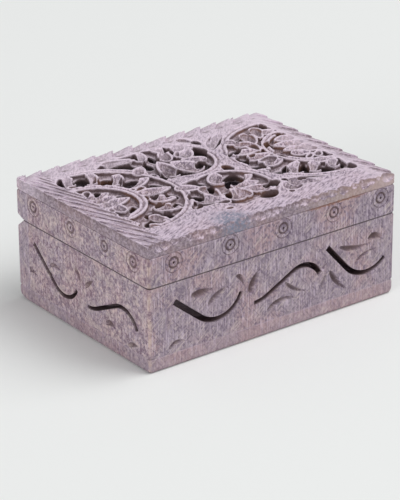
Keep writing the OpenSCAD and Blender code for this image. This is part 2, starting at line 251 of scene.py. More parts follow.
def use_tree(made, tree, values):
    """Adds a tree as a modifier and sets its inputs by the sockets' identifiers."""
    modifier = made.modifiers.new(tree.name, "NODES")
    modifier.node_group = tree
    known = {i.name: i.identifier for i in tree.interface.items_tree if i.in_out == "INPUT"}
    for title, value in values.items():
        modifier[known[title]] = value


def settle(made):
    """Turns an object and its modifiers into one plain mesh."""
    graph = bpy.context.evaluated_depsgraph_get()
    mesh = bpy.data.meshes.new_from_object(made.evaluated_get(graph))
    made.modifiers.clear()
    old, made.data = made.data, mesh
    bpy.data.meshes.remove(old)
    mesh.name = made.name
    return made


def drop(objects):
    """Removes helper objects that have done their work."""
    for item in objects:
        mesh = item.data
        bpy.data.objects.remove(item)
        bpy.data.meshes.remove(mesh)


# %% [markdown]
# ## Camera, floor and light
#
# The camera stands where the photographer stood: a long lens, low over the front left corner.
# Its angles come from lining up the corners of the box, and its lens from the whole outline,
# because worn edges make a box look smaller than its corners say. The floor is one pale sheet.
# A wide soft lamp at the front right throws the shadow to the left, and a weaker one lifts the
# left side. The sky is dim as a light and pale to the camera, so that a low view, which looks
# past the end of the floor, still has an even background.

# %% Camera
CAMERA_AZIMUTH = math.radians(-37.01)
CAMERA_ELEVATION = math.radians(23.76)
CAMERA_ROLL = math.radians(-0.39)
CAMERA_DISTANCE = 799.0
CAMERA_AIM = Vector((-3.93, -1.81, 18.23))
FOCAL_PIXELS = 2379.0
IMAGE_HEIGHT = 500
SENSOR = 36.0

lens = bpy.data.cameras.new("camera")
lens.sensor_width = SENSOR
lens.lens = SENSOR * FOCAL_PIXELS / IMAGE_HEIGHT
camera = bpy.data.objects.new("camera", lens)
bpy.context.scene.collection.objects.link(camera)
bpy.context.scene.camera = camera

level = math.cos(CAMERA_ELEVATION)
back = Vector((
    math.sin(CAMERA_AZIMUTH) * level,
    -math.cos(CAMERA_AZIMUTH) * level,
    math.sin(CAMERA_ELEVATION),
))
right = Vector((math.cos(CAMERA_AZIMUTH), math.sin(CAMERA_AZIMUTH), 0))
facing = Matrix((right, back.cross(right), back)).transposed()
facing = facing @ Matrix.Rotation(CAMERA_ROLL, 3, "Z")
camera.matrix_world = Matrix.LocRotScale((CAMERA_AIM + back * CAMERA_DISTANCE) * MM, facing, None)
print("lens", round(lens.lens, 1), "mm, camera at", [round(x, 3) for x in camera.location])

# %% Floor
FLOOR_HALF = 3.0
FLOOR_COLOUR = (0.83, 0.845, 0.838, 1)


def new_finish(name):
    """A material with an empty node tree."""
    finish = bpy.data.materials.new(name)
    finish.use_nodes = True
    finish.node_tree.nodes.clear()
    return finish, Tree(finish.node_tree)


floor_finish, tree = new_finish("floor")
surface = tree.add("ShaderNodeBsdfDiffuse", {"Color": FLOOR_COLOUR})
tree.add("ShaderNodeOutputMaterial", {"Surface": surface})

corners = [(x * FLOOR_HALF, y * FLOOR_HALF, 0) for x, y in ((-1, -1), (1, -1), (1, 1), (-1, 1))]
floor = new_object("floor", corners, faces=[(0, 1, 2, 3)])
floor.data.materials.append(floor_finish)
floor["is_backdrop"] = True
print("floor", 2 * FLOOR_HALF, "m wide")

# %% Light
SKY = 0.4
PALE_SKY = 0.83
bpy.context.scene.view_settings.view_transform = "Standard"
world = bpy.data.worlds.new("studio")
bpy.context.scene.world = world
world.use_nodes = True
world.node_tree.nodes.clear()
tree = Tree(world.node_tree)
ray = tree.add("ShaderNodeLightPath", out="Is Camera Ray")
seen = ray.most(ray.of("Is Glossy Ray")).most(ray.of("Is Transmission Ray"))
strength = SKY + seen * (PALE_SKY - SKY)
sky = tree.add("ShaderNodeBackground", {"Color": (1, 1, 1, 1), "Strength": strength})
tree.add("ShaderNodeOutputWorld", {"Surface": sky})


def lamp(name, place, width, watts):
    """A square soft lamp, its place and width in metres, turned to face the box."""
    light = bpy.data.lights.new(name, "AREA")
    light.shape = "SQUARE"
    light.size = width
    light.energy = watts
    made = bpy.data.objects.new(name, light)
    made.location = place
    made.rotation_mode = "QUATERNION"
    made.rotation_quaternion = (-Vector(place)).to_track_quat("-Z", "Y")
    bpy.context.scene.collection.objects.link(made)


lamp("key", (1.7, -1.3, 3.2), width=3.4, watts=112)
lamp("fill", (-3.0, -1.0, 0.6), width=1.6, watts=50)
print("sky of strength", SKY, "with a key lamp and a fill lamp")

# %% [markdown]
# ## Soapstone
#
# Soapstone is a soft grey-mauve stone with violet grains and cream flecks. It is cut with a
# saw and rubbed down, so fine scratches run over its faces. Edges that are handled turn pale,
# and dust and oil darken the cuts, which are also darkened with painted shade. One image could
# hold all that, but it would stretch over the carving, so the stone is a solid pattern: noises
# read at the point itself, in millimetres. Edge wear, and the dirt and painted shade in cuts,
# come from how far a point lies from the faces of its own strip, so a cut gets darker the deeper
# it goes. Stains come from how far a point lies from a joint.

# %% Colours of the stone
def shade(red, green, blue):
    """A screen colour from 0 to 255 as the linear colour that a shader takes."""
    return (*(((c / 255 + 0.055) / 1.055) ** 2.4 for c in (red, green, blue)), 1)


MAUVE = shade(150, 136, 148)
ROSE = shade(164, 138, 143)
VIOLET = shade(104, 88, 108)
CREAM = shade(206, 190, 184)
DUST = shade(214, 196, 214)
SLATE = shade(112, 120, 140)
# A dirt brown that also serves as painted shade in cuts, hollows and chips.
DIRT_AND_SHADE = shade(88, 66, 66)
UMBER = shade(46, 32, 32)
RUST = shade(136, 92, 66)
PALE = shade(226, 210, 224)
BLUSH = shade(174, 148, 152)
TAN = shade(196, 172, 158)
PLUM = shade(108, 80, 98)
SAND = shade(204, 180, 176)
print("mauve as linear light:", [round(c, 3) for c in MAUVE[:3]])

# %% What every soapstone finish shares
class Stone:
    """The noises, scratches and stains that every soapstone finish shares."""

    def __init__(self, name, shift, cream, violet):
        self.finish, tree = new_finish(name)
        self.tree = tree
        place = tree.scaled(tree.add("ShaderNodeTexCoord", out="Object"), 1 / MM)
        self.x, self.y, self.z = tree.parts(place)
        # Each noise is read a long way off from the others, so that they don't line up.
        self.place = tree.vector("ADD", place, (shift, 0.6 * shift, 0.3 * shift))
        self.cloud = tree.noise(self.place, 0.06, 2)
        self.blotch = tree.noise(tree.vector("ADD", self.place, (0, 57, 0)), 0.22, 3)
        self.grain = tree.noise(self.place, 0.9, 4, 0.65)
        self.fleck = tree.noise(tree.vector("ADD", self.place, (91, 0, 0)), 1.1, 4, 0.7)
        self.colour = tree.mix(self.cloud.rise(0.4, 0.62), MAUVE, ROSE)
        self.tint(self.blotch.rise(0.5, 0.66) * violet * 0.6, VIOLET)
        self.tint(self.grain.rise(0.49, 0.62) * violet, VIOLET)
        self.tint(self.fleck.rise(0.5, 0.64) * cream, CREAM)

    def lines(self, across, along, lean):
        """Scratches: a noise that is fine across and long along a leaning direction."""
        flat = self.x + self.y
        turn = math.radians(lean)
        cross = flat * math.cos(turn) + self.z * math.sin(turn)
        run = self.z * math.cos(turn) - flat * math.sin(turn)
        return self.tree.noise(self.tree.joined(cross * across, run * along, 0), 1, 2, 0.7)

    def tint(self, share, colour):
        self.colour = self.tree.mix(share, self.colour, colour)

    def patch(self, x, y, near, far):
        """1 within a distance of a place on the plan, 0 past another."""
        reach = self.tree.joined(self.x - x, self.y - y, 0)
        return 1 - self.tree.vector("LENGTH", reach, out="Value").rise(near, far)

    def stain_joint(self, share):
        """Rust along the right half of the joint under the lid's front edge."""
        strayed = self.z - PANEL_Z + (self.grain - 0.5) * 2
        near = 1 - strayed.call("ABSOLUTE").rise(0.1, 0.6)
        stretch = self.x.rise(10, 18) * (1 - self.x.rise(32, 42))
        front = 1 - self.y.rise(low_y + 0.5, low_y + 2)
        self.tint(near * stretch * front * self.blotch.rise(0.34, 0.46) * share, RUST)

    def close(self, height, roughness, depth):
        """Ends the finish: colour, roughness and a bump whose depth is in millimetres."""
        bump = {"Strength": 0.7, "Distance": depth * MM, "Height": height}
        sockets = {
            "Base Color": self.colour,
            "Roughness": roughness,
            "Normal": self.tree.add("ShaderNodeBump", bump),
        }
        surface = self.tree.add("ShaderNodeBsdfPrincipled", sockets)
        self.tree.add("ShaderNodeOutputMaterial", {"Surface": surface})
        return self.finish


# %% [markdown]
# ## Finish of a sawn strip
#
# A sawn strip shows three sets of scratches: upright ones from the saw and two slanting ones
# from rubbing down. The short sides of the box are a blotchier stone, so they can be mottled
# plum and sand, and the base can be blushed pink at the front and violet at its ends. One
# function with a few shares makes all nine finishes, so that they stay one kind of stone.
# The joint between body and lid is dark only near the outside, where dirt gets in.

# %% Finish of a stone strip
def strip_finish(name, low, high, shift, cream=0.4, violet=0.8, scratch=0.55, mottle=0.0,
                 blush=0.0, rust=0.0, dirt=1.3):
    """Soapstone between two corners. Shares go from 0 to 1; the depth in millimetres is where a cut is
    darkest with dirt and painted shade.
    """
    stone = Stone(name, shift, cream, violet)
    far = [
        (here - a).least(b - here)
        for here, a, b in zip((stone.x, stone.y, stone.z), low, high)
    ]
    edge = far[0].least(far[1]).most(far[0].most(far[1]).least(far[2]))
    inside = far[0].least(far[1]).least(far[2])
    from_side = high_x - stone.x.call("ABSOLUTE")
    from_end = high_y - stone.y.call("ABSOLUTE")
    side = 1 - from_side.rise(0.3, 1.6)
    stone.tint((1 - side) * blush, BLUSH)
    stone.tint(side * blush * 0.6, VIOLET)

    upright = stone.lines(2.1, 0.14, 0)
    leaning = stone.lines(1.8, 0.12, 40)
    falling = stone.lines(1.8, 0.12, -50)
    stone.tint(upright.rise(0.5, 0.68) * scratch, DUST)
    stone.tint((1 - upright.rise(0.32, 0.48)) * scratch, VIOLET)
    stone.tint((1 - leaning.rise(0.34, 0.48)) * scratch, VIOLET)
    stone.tint(falling.rise(0.54, 0.68) * scratch, CREAM)

    coarse = stone.tree.noise(stone.tree.vector("ADD", stone.place, (0, 0, 33)), 0.7, 5, 0.8)
    stone.tint((1 - stone.blotch.rise(0.36, 0.5)) * side * mottle * 0.4, PLUM)
    stone.tint(stone.blotch.rise(0.5, 0.64) * side * mottle * 0.45, CREAM)
    stone.tint((1 - coarse.rise(0.38, 0.5)) * side * mottle, PLUM)
    stone.tint(coarse.rise(0.51, 0.64) * side * mottle, SAND)

    stone.tint((1 - edge.rise(0.05, 0.45)) * stone.grain.rise(0.4, 0.6) * 0.3, DUST)
    corner = (stone.x - low_x).most(stone.y - low_y)
    stone.tint((1 - corner.rise(0.3, 1.4)) * stone.blotch.rise(0.42, 0.56) * 0.45, TAN)

    from_joint = (stone.z - JOINT_Z).call("ABSOLUTE")
    outside = 1 - from_side.least(from_end).rise(0.4, 1.2)
    stone.tint((1 - from_joint.rise(0.12, 0.36)) * outside * 0.8, UMBER)
    # Cuts darken the deeper they go: brown dirt, and painted shade in the cut.
    stone.tint(inside.rise(0.02, dirt) * 0.85, DIRT_AND_SHADE)
    stone.stain_joint(rust)
    height = upright * 0.6 + stone.grain * 0.6 + stone.fleck * 0.4
    return stone.close(height, 0.62 + 0.15 * stone.fleck, 0.2)


# %% [markdown]
# ## Hinge wire
#
# The eyes and staples are bent from dull brass wire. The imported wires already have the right
# shape, so they keep their meshes and only get a finish: brass that a coarse noise turns brown
# in places, and that a fine noise makes a little uneven. A drawn line along the wire would need
# its own coordinates, and it couldn't be seen on a wire this thin.

# %% Finish of the wire
BRASS = shade(176, 148, 96)
TARNISH = shade(96, 74, 48)


def wire_finish():
    """Dull brass, tarnished in patches."""
    finish, tree = new_finish("dull_brass")
    place = tree.scaled(tree.add("ShaderNodeTexCoord", out="Object"), 1 / MM)
    patch = tree.noise(place, 0.9, 3)
    speck = tree.noise(place, 6, 3)
    dark = patch.rise(0.4, 0.65)
    bump = {"Strength": 0.3, "Distance": 0.05 * MM, "Height": speck}
    sockets = {
        "Base Color": tree.mix(dark * 0.8, BRASS, TARNISH),
        "Metallic": 1.0,
        "Roughness": 0.34 + 0.25 * dark + 0.1 * speck,
        "Normal": tree.add("ShaderNodeBump", bump),
    }
    surface = tree.add("ShaderNodeBsdfPrincipled", sockets)
    tree.add("ShaderNodeOutputMaterial", {"Surface": surface})
    return finish


wire = wire_finish()
for name, node in frame["nodes"].items():
    if name.startswith("hinge_"):
        node.data.materials.clear()
        node.data.materials.append(wire)
        print(name, "is", wire.name)

# %% [markdown]
# ## Worn strips of stone
#
# The base, the four walls and the four rims are plain sawn strips, so one tree makes them all.
# A bevel would round every edge alike. Here the grid of a box is drawn towards its edges, and
# each point is pushed out from an inner box by its own radius: small at the glued joints,
# larger where an edge has chipped and at the four corners of the box, and largest round its
# foot. The strips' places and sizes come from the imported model.

# %% The tree of a worn strip
CORNER_REACH = 2.5
FOOT_REACH = 3.5
BACK_FOOT_REACH = 5.0


def worn_strip_tree():
    """A box whose edges have radii of their own, in millimetres."""
    tree = GeometryTree("worn_strip", {
        "Low": (0.0, 0.0, 0.0),
        "High": (1.0, 1.0, 1.0),
        "Cell": 1.0,
        "Joint Radius": 0.14,
        "Corner Radius": 0.8,
        "Foot Radius": 0.0,
        "Back Foot Radius": 0.0,
        "Chip Radius": 0.45,
        "Seed": 0.0,
    })
    low, high = tree.given("Low"), tree.given("High")
    size = tree.vector("SUBTRACT", high, low)
    counts = [side / tree.given("Cell") + 4 for side in tree.parts(size)]
    names = ("Vertices X", "Vertices Y", "Vertices Z")
    box = tree.add("GeometryNodeMeshCube", {"Size": (2, 2, 2), **dict(zip(names, counts))})
    drawn = [t * (0.75 - 0.25 * t * t) + 0.5 for t in tree.parts(tree.position())]
    place = tree.vector("MULTIPLY_ADD", tree.joined(*drawn), size)
    tree.nodes.links.new(low.socket, place.socket.node.inputs[2])

    x, y, z = tree.parts(place)
    chip_place = tree.vector("ADD", place, tree.joined(tree.given("Seed"), 0, 0))
    chips = tree.noise(chip_place, 0.4, 3).rise(0.55, 0.75)
    at_side = x.call("ABSOLUTE").rise(high_x - CORNER_REACH, high_x - 0.5)
    at_front = y.call("ABSOLUTE").rise(high_y - CORNER_REACH, high_y - 0.5)
    at_foot = 1 - z.rise(0.5, FOOT_REACH)
    at_back = y.rise(high_y - BACK_FOOT_REACH, high_y - 1)
    radius = tree.given("Joint Radius") + chips * tree.given("Chip Radius")
    radius = radius.most(at_side * at_front * tree.given("Corner Radius"))
    radius = radius.most(at_foot * tree.given("Foot Radius"))
    radius = radius.most(at_foot * at_back * tree.given("Back Foot Radius"))

    inset = tree.joined(radius, radius, radius)
    core = tree.vector("MAXIMUM", place, tree.vector("ADD", low, inset))
    core = tree.vector("MINIMUM", core, tree.vector("SUBTRACT", high, inset))
    out = tree.vector("NORMALIZE", tree.vector("SUBTRACT", place, core))
    rounded = tree.vector("ADD", core, tree.scaled(out, radius))
    return tree.close(tree.moved(box, rounded))


worn_strip = worn_strip_tree()
print("worn strip:", len(worn_strip.nodes), "nodes")

# %% [markdown]
# ## Chisel cuts, sawn slots and drilled rings
#
# The ornament is cut into the strips, so each cut is a solid that is taken away. A chisel cut is
# fat and deep at one end and runs out at the other: a ball stretched from a root to a tip, bent
# sideways and drawn thin. A sawn slot follows a path with a flat bar. A ring mark is what a
# hollow drill leaves: two round grooves and a dot. A tree makes each kind from points or paths,
# so that a wall's cuts are only a short list of places.

# %% The tree of a chisel cut
ALMOST_HALF = 0.4999
CHISEL_BLUNT = 0.55
FATTEST, DEEPEST = 1.4, 1.3


def shaped_on_points(tree, shape):
    """Repeats a shape on points. Gives the copies, their roots and the shape's own points."""
    shape = tree.store(shape, "unit", tree.position())
    copies = {"Points": tree.given("Geometry"), "Instance": shape}
    spread = tree.add("GeometryNodeInstanceOnPoints", copies)
    real = tree.add("GeometryNodeRealizeInstances", {"Geometry": spread})
    unit = tree.attribute("unit", "FLOAT_VECTOR")
    return real, tree.vector("SUBTRACT", tree.position(), unit), tree.parts(unit)


def along_reach(tree, root, share, aside, up):
    """A point at a share of the way from root to tip, moved aside and up."""
    across, ahead = tree.attribute("reach_x"), tree.attribute("reach_y")
    reach = tree.joined(across, ahead, 0)
    left = tree.vector("NORMALIZE", tree.joined(0 - ahead, across, 0))
    bend = tree.attribute("bend") * 4 * share * (1 - share)
    place = tree.vector("ADD", root, tree.scaled(reach, share))
    place = tree.vector("ADD", place, tree.scaled(left, aside + bend))
    return tree.vector("ADD", place, tree.joined(0, 0, up))


def chisel_cut_tree():
    """Balls drawn out from a fat root to a pointed tip."""
    tree = GeometryTree("chisel_cut", {"Blunt": CHISEL_BLUNT})
    ball = tree.add("GeometryNodeMeshUVSphere", {"Segments": 16, "Rings": 14, "Radius": 1.0})
    lying = {"Geometry": ball, "Rotation": (0, math.pi / 2, 0)}
    ball = tree.add("GeometryNodeTransform", lying)
    cuts, root, (ux, uy, uz) = shaped_on_points(tree, ball)
    share = ux * ALMOST_HALF + 0.5
    fat = (1 - share) ** tree.given("Blunt") * FATTEST
    aside = uy * fat * tree.attribute("width") * 0.5
    up = uz * fat * tree.attribute("depth") * DEEPEST
    return tree.close(tree.moved(cuts, along_reach(tree, root, share, aside, up)))


chisel_cut = chisel_cut_tree()
print("chisel cut:", len(chisel_cut.nodes), "nodes")

# %% The trees of a slot and of a ring mark
SLOT_DEPTH = 20.0
RING_SIZES = {
    "Outer Radius": 3.35,
    "Inner Radius": 1.75,
    "Groove": 0.3,
    "Dot Radius": 0.5,
    "Dot Depth": 0.9,
}
OUTER_SHARE, INNER_SHARE = 0.8, 1.5


def sawn_slot_tree():
    """A flat bar swept along paths, right through a wall."""
    tree = GeometryTree("sawn_slot", {"Depth": SLOT_DEPTH})
    path = tree.add("GeometryNodeMeshToCurve", {"Mesh": tree.given("Geometry")})
    path = tree.add("GeometryNodeSetCurveNormal", {"Curve": path}, mode="Z_UP")
    size = {"Width": 1.0, "Height": tree.given("Depth")}
    sockets = {
        "Curve": path,
        "Profile Curve": tree.add("GeometryNodeCurvePrimitiveQuadrilateral", size),
        "Scale": tree.attribute("width"),
        "Fill Caps": True,
    }
    return tree.close(tree.add("GeometryNodeCurveToMesh", sockets))


def ring_mark_tree():
    """Two round grooves and a dot, on every point."""
    tree = GeometryTree("ring_mark", RING_SIZES)
    shapes = []
    for title, wider in (("Outer Radius", OUTER_SHARE), ("Inner Radius", INNER_SHARE)):
        ring = {"Resolution": 40, "Radius": tree.given(title)}
        groove = {"Resolution": 8, "Radius": tree.given("Groove") * wider}
        sockets = {
            "Curve": tree.add("GeometryNodeCurvePrimitiveCircle", ring),
            "Profile Curve": tree.add("GeometryNodeCurvePrimitiveCircle", groove),
        }
        shapes.append(tree.add("GeometryNodeCurveToMesh", sockets))
    dot = tree.add("GeometryNodeMeshUVSphere", {"Segments": 12, "Rings": 8, "Radius": 1.0})
    size = tree.joined(tree.given("Dot Radius"), tree.given("Dot Radius"), tree.given("Dot Depth"))
    shapes.append(tree.add("GeometryNodeTransform", {"Geometry": dot, "Scale": size}))
    mark = tree.add("GeometryNodeJoinGeometry", {"Geometry": shapes})
    sockets = {"Points": tree.given("Geometry"), "Instance": mark}
    return tree.close(tree.add("GeometryNodeInstanceOnPoints", sockets))


sawn_slot = sawn_slot_tree()
ring_mark = ring_mark_tree()
print("slot:", len(sawn_slot.nodes), "nodes, ring mark:", len(ring_mark.nodes), "nodes")

# %% Cutters laid on a face
def cut_points(rows):
    """Vertices and numbers of chisel cuts: rows of root, tip, width, bend and depth."""
    vertices = [(x0, y0, 0) for x0, y0, *_ in rows]
    numbers = {
        "reach_x": [row[2] - row[0] for row in rows],
        "reach_y": [row[3] - row[1] for row in rows],
        "width": [row[4] for row in rows],
        "bend": [row[5] for row in rows],
        "depth": [row[6] for row in rows],
    }
    return vertices, numbers


def laid(made, face):
    """Settles a cutter and lays it on a face of the box."""
    settle(made)
    made.data.transform(face)
    return made


def chisel_cuts(face, rows):
    vertices, numbers = cut_points(rows)
    made = new_object("chisel_cuts", vertices, attributes=numbers)
    use_tree(made, chisel_cut, {"Blunt": CHISEL_BLUNT})
    return laid(made, face)


def sawn_slots(face, paths, depth=SLOT_DEPTH):
    """Slots along paths of (x, y, width) points."""
    vertices, edges, widths = [], [], []
    for path in paths:
        edges += [(i, i + 1) for i in range(len(vertices), len(vertices) + len(path) - 1)]
        vertices += [(x, y, 0) for x, y, _ in path]
        widths += [width for _, _, width in path]
    made = new_object("sawn_slots", vertices, edges, attributes={"width": widths})
    use_tree(made, sawn_slot, {"Depth": depth})
    return laid(made, face)


def ring_marks(face, places):
    made = new_object("ring_marks", [(x, y, 0) for x, y in places])
    use_tree(made, ring_mark, RING_SIZES)
    return laid(made, face)


# %% Plain solids with an outline
def outward(made):
    """Turns a closed mesh's faces outwards."""
    mesh = bmesh.new()
    mesh.from_mesh(made.data)
    bmesh.ops.recalc_face_normals(mesh, faces=mesh.faces)
    mesh.to_mesh(made.data)
    mesh.free()
    return made


def solid_between(name, first, second):
    """A closed solid whose sides join two outlines of equally many points."""
    count = len(first)
    sides = [(i, (i + 1) % count, (i + 1) % count + count, i + count) for i in range(count)]
    ends = [tuple(range(count))[::-1], tuple(range(count, 2 * count))]
    return outward(new_object(name, first + second, faces=sides + ends))


def prism(name, outline, low, high):
    """A solid with an outline in YZ, from low to high along X."""
    return solid_between(name, *([(x, y, z) for y, z in outline] for x in (low, high)))


def plate(name, outline, low, high):
    """A solid with an outline in XY, from low to high along Z."""
    return solid_between(name, *([(x, y, z) for x, y in outline] for z in (low, high)))


# %% [markdown]
# ## From a cutter to a dressed piece
#
# A piece is cut by Boolean modifiers. The Manifold solver is quick and keeps a mesh closed, if
# no cutter crosses itself, so cuts that touch each other are handed over in separate rounds.
# The cut piece is scaled to metres, smoothed except at crisp edges, and takes the place of
# its imported node: it rides on the same body and gets its own finish.

# %% Dressing a stone piece
SHARP_ANGLE = math.radians(38)


def cut_away(made, cutters, operation="DIFFERENCE"):
    """Takes cutters out of a piece, or adds them to it, and removes them."""
    for cutter in cutters:
        modifier = made.modifiers.new("cut", "BOOLEAN")
        modifier.operation = operation
        modifier.solver = "MANIFOLD"
        modifier.object = cutter
    settle(made)
    drop(cutters)
    return made


def dress(made, node, finish):
    """Scales a piece to metres, smooths it, and lets it stand for a node on its body."""
    mesh = bmesh.new()
    mesh.from_mesh(made.data)
    for face in mesh.faces:
        face.smooth = True
    for edge in mesh.edges:
        edge.smooth = edge.calc_face_angle(math.pi) < SHARP_ANGLE
    mesh.transform(Matrix.Scale(MM, 4))
    mesh.to_mesh(made.data)
    mesh.free()
    made.data.materials.clear()
    made.data.materials.append(finish)
    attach(made, "lid" if node.startswith("lid_") else "box")
    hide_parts(node)
    made.data.calc_loop_triangles()
    print(made.name, len(made.data.loop_triangles), "triangles")


def stone_strip(node, shift, cutters=(), foot=0.0, back_foot=0.0, **looks):
    """A worn strip in its node's place. Its shift moves it to another part of the stone."""
    low, high = corners_mm(node)
    made = new_object("stone_" + node)
    use_tree(made, worn_strip, {
        "Low": low,
        "High": high,
        "Foot Radius": foot,
        "Back Foot Radius": back_foot,
        "Seed": shift,
    })
    cut_away(made, cutters)
    dress(made, node, strip_finish("soapstone_" + node, low, high, shift, **looks))


# %% [markdown]
# ## Faces of the box
#
# Cuts are written as they are seen: on each face, x runs to the right from its middle, y is the
# height over the ground and z comes out of the stone. A face's matrix lays them on the box, so
# the four sides share one way of writing. The front and left lists follow the photo. The back
# and right sides aren't seen there, so they repeat their opposite sides.

# %% Where the faces are
def face_matrix(x, y, turn):
    """The matrix that lays a drawing on the side with its middle at x and y."""
    turned = Matrix.Rotation(math.radians(turn), 4, "Z") @ Matrix.Rotation(math.pi / 2, 4, "X")
    return Matrix.Translation((x, y, 0)) @ turned


FRONT, RIGHT = face_matrix(0, low_y, 0), face_matrix(high_x, 0, 90)
BACK, LEFT = face_matrix(0, high_y, 180), face_matrix(low_x, 0, -90)
WALL_MID = sum(corner.z for corner in corners_mm("front_wall")) / 2
print("middle of a wall at", round(WALL_MID, 2))

# %% Paths of the slots
TAIL_RADIUS = 13.0
TAIL_SWEEP = 26.0
ARC_STEPS = 16
SLOT_START, SLOT_END = 1.1, 0.84


def polar(radius, angle):
    """A step of a length in a direction in degrees."""
    return Vector((math.cos(math.radians(angle)), math.sin(math.radians(angle)))) * radius


def arc(centre, radius, start, end):
    """Points of an arc from one angle to another."""
    turns = [start + (end - start) * i / ARC_STEPS for i in range(ARC_STEPS + 1)]
    return [centre + polar(radius, turn) for turn in turns]


def drawn_thin(points, width):
    """Points with the slot's width, which falls a little along the way."""
    last = len(points) - 1
    return [
        (p.x, p.y, width * (SLOT_START + (SLOT_END - SLOT_START) * i / last))
        for i, p in enumerate(points)
    ]


def hook(width, x, up, radius, start, end, run):
    """A straight run that leads into a bow."""
    centre = Vector((x, WALL_MID + up))
    lead = centre + polar(radius, start) + polar(run, start - 90)
    return drawn_thin([lead] + arc(centre, radius, start, end), width)


def wave(width, x, up, radius, start, end, run):
    """A bow, a straight run and a tail that levels out."""
    centre = Vector((x, WALL_MID + up))
    tail = centre + polar(radius, end) + polar(run, end + 90) + polar(TAIL_RADIUS, end)
    bend = arc(tail, TAIL_RADIUS, end + 180, end + 180 - TAIL_SWEEP)
    return drawn_thin(arc(centre, radius, start, end) + bend, width)


# Each slot: width, x and height of its bow's middle, the bow's radius and two angles, straight run.
LONG_SLOTS = [
    hook(1.9, -24.1, 5.1, 10.4, 231, 340, 13.5),
    wave(1.9, 11.2, -4.7, 8.3, 24, 117, 12),
    hook(1.9, 38.8, 4.9, 11.1, 222, 317, 13),
]
SHORT_SLOTS = [
    hook(1.6, -10.0, 1.1, 8, 229, 335, 16.5),
    wave(1.6, 22.7, -7.8, 8.7, 22, 115, 11),
]
print(len(LONG_SLOTS), "slots on a long side,", len(SHORT_SLOTS), "on a short side")

# %% Places of the chisel cuts and ring marks
# Each cut: x and height of its fat root, x and height of its tip, width, bend to its left, depth.
LONG_CUTS = [
    (-34.6, 22.9, -24.6, 23.0, 2.7, 0.0, 0.9),
    (-27.9, 17.4, -18.0, 22.3, 2.3, 1.0, 0.7),
    (-16.2, 25.2, -13.4, 20.9, 1.9, 0.7, 0.8),
    (-10.9, 17.2, -5.9, 25.2, 2.6, 0.7, 1.0),
    (-3.6, 9.0, 9.4, 9.9, 1.9, 1.7, 0.8),
    (4.0, 16.9, 14.0, 11.3, 1.5, -1.0, 0.7),
    (22.9, 15.9, 31.0, 6.8, 2.0, -0.8, 0.9),
    (21.3, 15.0, 18.3, 8.4, 1.7, 0.2, 0.4),
    (18.8, 16.7, 22.2, 19.2, 1.5, 0.0, 0.35),
    (26.9, 23.2, 41.0, 21.6, 2.0, -1.2, 0.8),
    (39.4, 23.2, 46.2, 21.2, 2.6, 1.1, 1.0),
    (33.9, 15.5, 43.6, 18.6, 1.3, 1.1, 0.6),
    (-43.6, 6.6, -36.0, 7.6, 1.7, 1.4, 0.7),
]
SHORT_CUTS = [
    (-34.4, 11.0, -25.8, 11.6, 2.1, 1.5, 0.9),
    (-18.4, 18.4, -12.0, 18.8, 1.5, 0.8, 0.6),
    (-3.6, 22.8, -0.4, 18.4, 1.7, 0.5, 0.8),
    (2.3, 18.0, 7.0, 21.9, 1.7, 0.2, 0.8),
    (13.4, 9.2, 19.2, 9.2, 2.1, 1.0, 0.9),
    (25.8, 5.9, 31.6, 7.6, 1.7, 0.5, 0.8),
    (-21.4, 16.6, -16.8, 15.4, 1.0, 0.0, 2.5),
]
MARK_HEIGHT = 6.8
LONG_MARKS = [(x, JOINT_Z + MARK_HEIGHT) for x in (-41.1, -18.6, 3.1, 24.5, 44.7)]
SHORT_MARKS = [(x, JOINT_Z + MARK_HEIGHT) for x in (-27.4, -5.6, 13.5, 29.1)]
print(len(LONG_CUTS), "cuts and", len(LONG_MARKS), "marks on a long side")

# %% [markdown]
# ## Room for the hinges
#
# The wire eyes stand in the back wall and the staples hang from the back rim, so both strips
# have a round nick on the hinge axis. A slope along the back of the joint lets the lid swing
# open and stops it just past upright. Both are plain solids that are taken away.

# %% Seats of the hinges
HINGE_X = 30.0
SEAT_SIDES = 24
AXIS_Y, AXIS_Z = (c / MM for c in frame["joints"][0]["pos_m"][1:])
BEVEL_IN = 4.1
BODY_BEVEL, LID_BEVEL = 3.3, 1.9
PAST = 1.0


def hinge_seats(radius, width):
    """Round nicks on the hinge axis, where the wire eyes sit and turn."""
    turns = [360 / SEAT_SIDES * i for i in range(SEAT_SIDES)]
    rim = [Vector((AXIS_Y, AXIS_Z)) + polar(radius, turn) for turn in turns]
    return [prism("hinge_seat", rim, x - width / 2, x + width / 2) for x in (-HINGE_X, HINGE_X)]


def back_bevel(drop_at_back):
    """The slope along the back of the joint that lets the lid swing open."""
    start = high_y - BEVEL_IN
    end = high_y + PAST
    fall = drop_at_back * (BEVEL_IN + PAST) / BEVEL_IN
    over = math.copysign(PAST, drop_at_back)
    slope = [(start, JOINT_Z), (end, JOINT_Z - fall)]
    outline = [*slope, (end, JOINT_Z + over), (start, JOINT_Z + over)]
    return prism("back_bevel", outline, low_x - PAST, high_x + PAST)


print("hinge axis at y", round(AXIS_Y, 2), "and z", round(AXIS_Z, 2))

# %% [markdown]
# ## Body and rims
#
# The strips go round like a pinwheel: each butts against the next one's side. Every strip was
# sawn from its own piece of stone, so each finish is shifted by its own amount. The short sides
# are mottled, most of all the left one, and the base is blushed pink. The front rim has less
# cream, and rust along its upper edge. Drilled rings are shallow, so on the rims a cut is as
# dark at half a millimetre as a wall's cut is farther in.

# %% Make the strips
# Radius and width of the nick round an eye, in the back wall and in the back rim.
EYE_SEAT = (1.66, 1.12)
EYE_ROOM = (1.9, 1.6)
# How deep a cut on a rim must go to be darkest with dirt and painted shade; drilled rings are shallow.
RING_DIRT_SHADE_DEPTH = 0.5


def wall_cuts(side, slots, cuts):
    """The cutters of a wall."""
    return [sawn_slots(side, slots), chisel_cuts(side, cuts)]


stone_strip("base_slab", 13, foot=1.4, back_foot=2.4, scratch=0.35, mottle=0.4, blush=0.35)

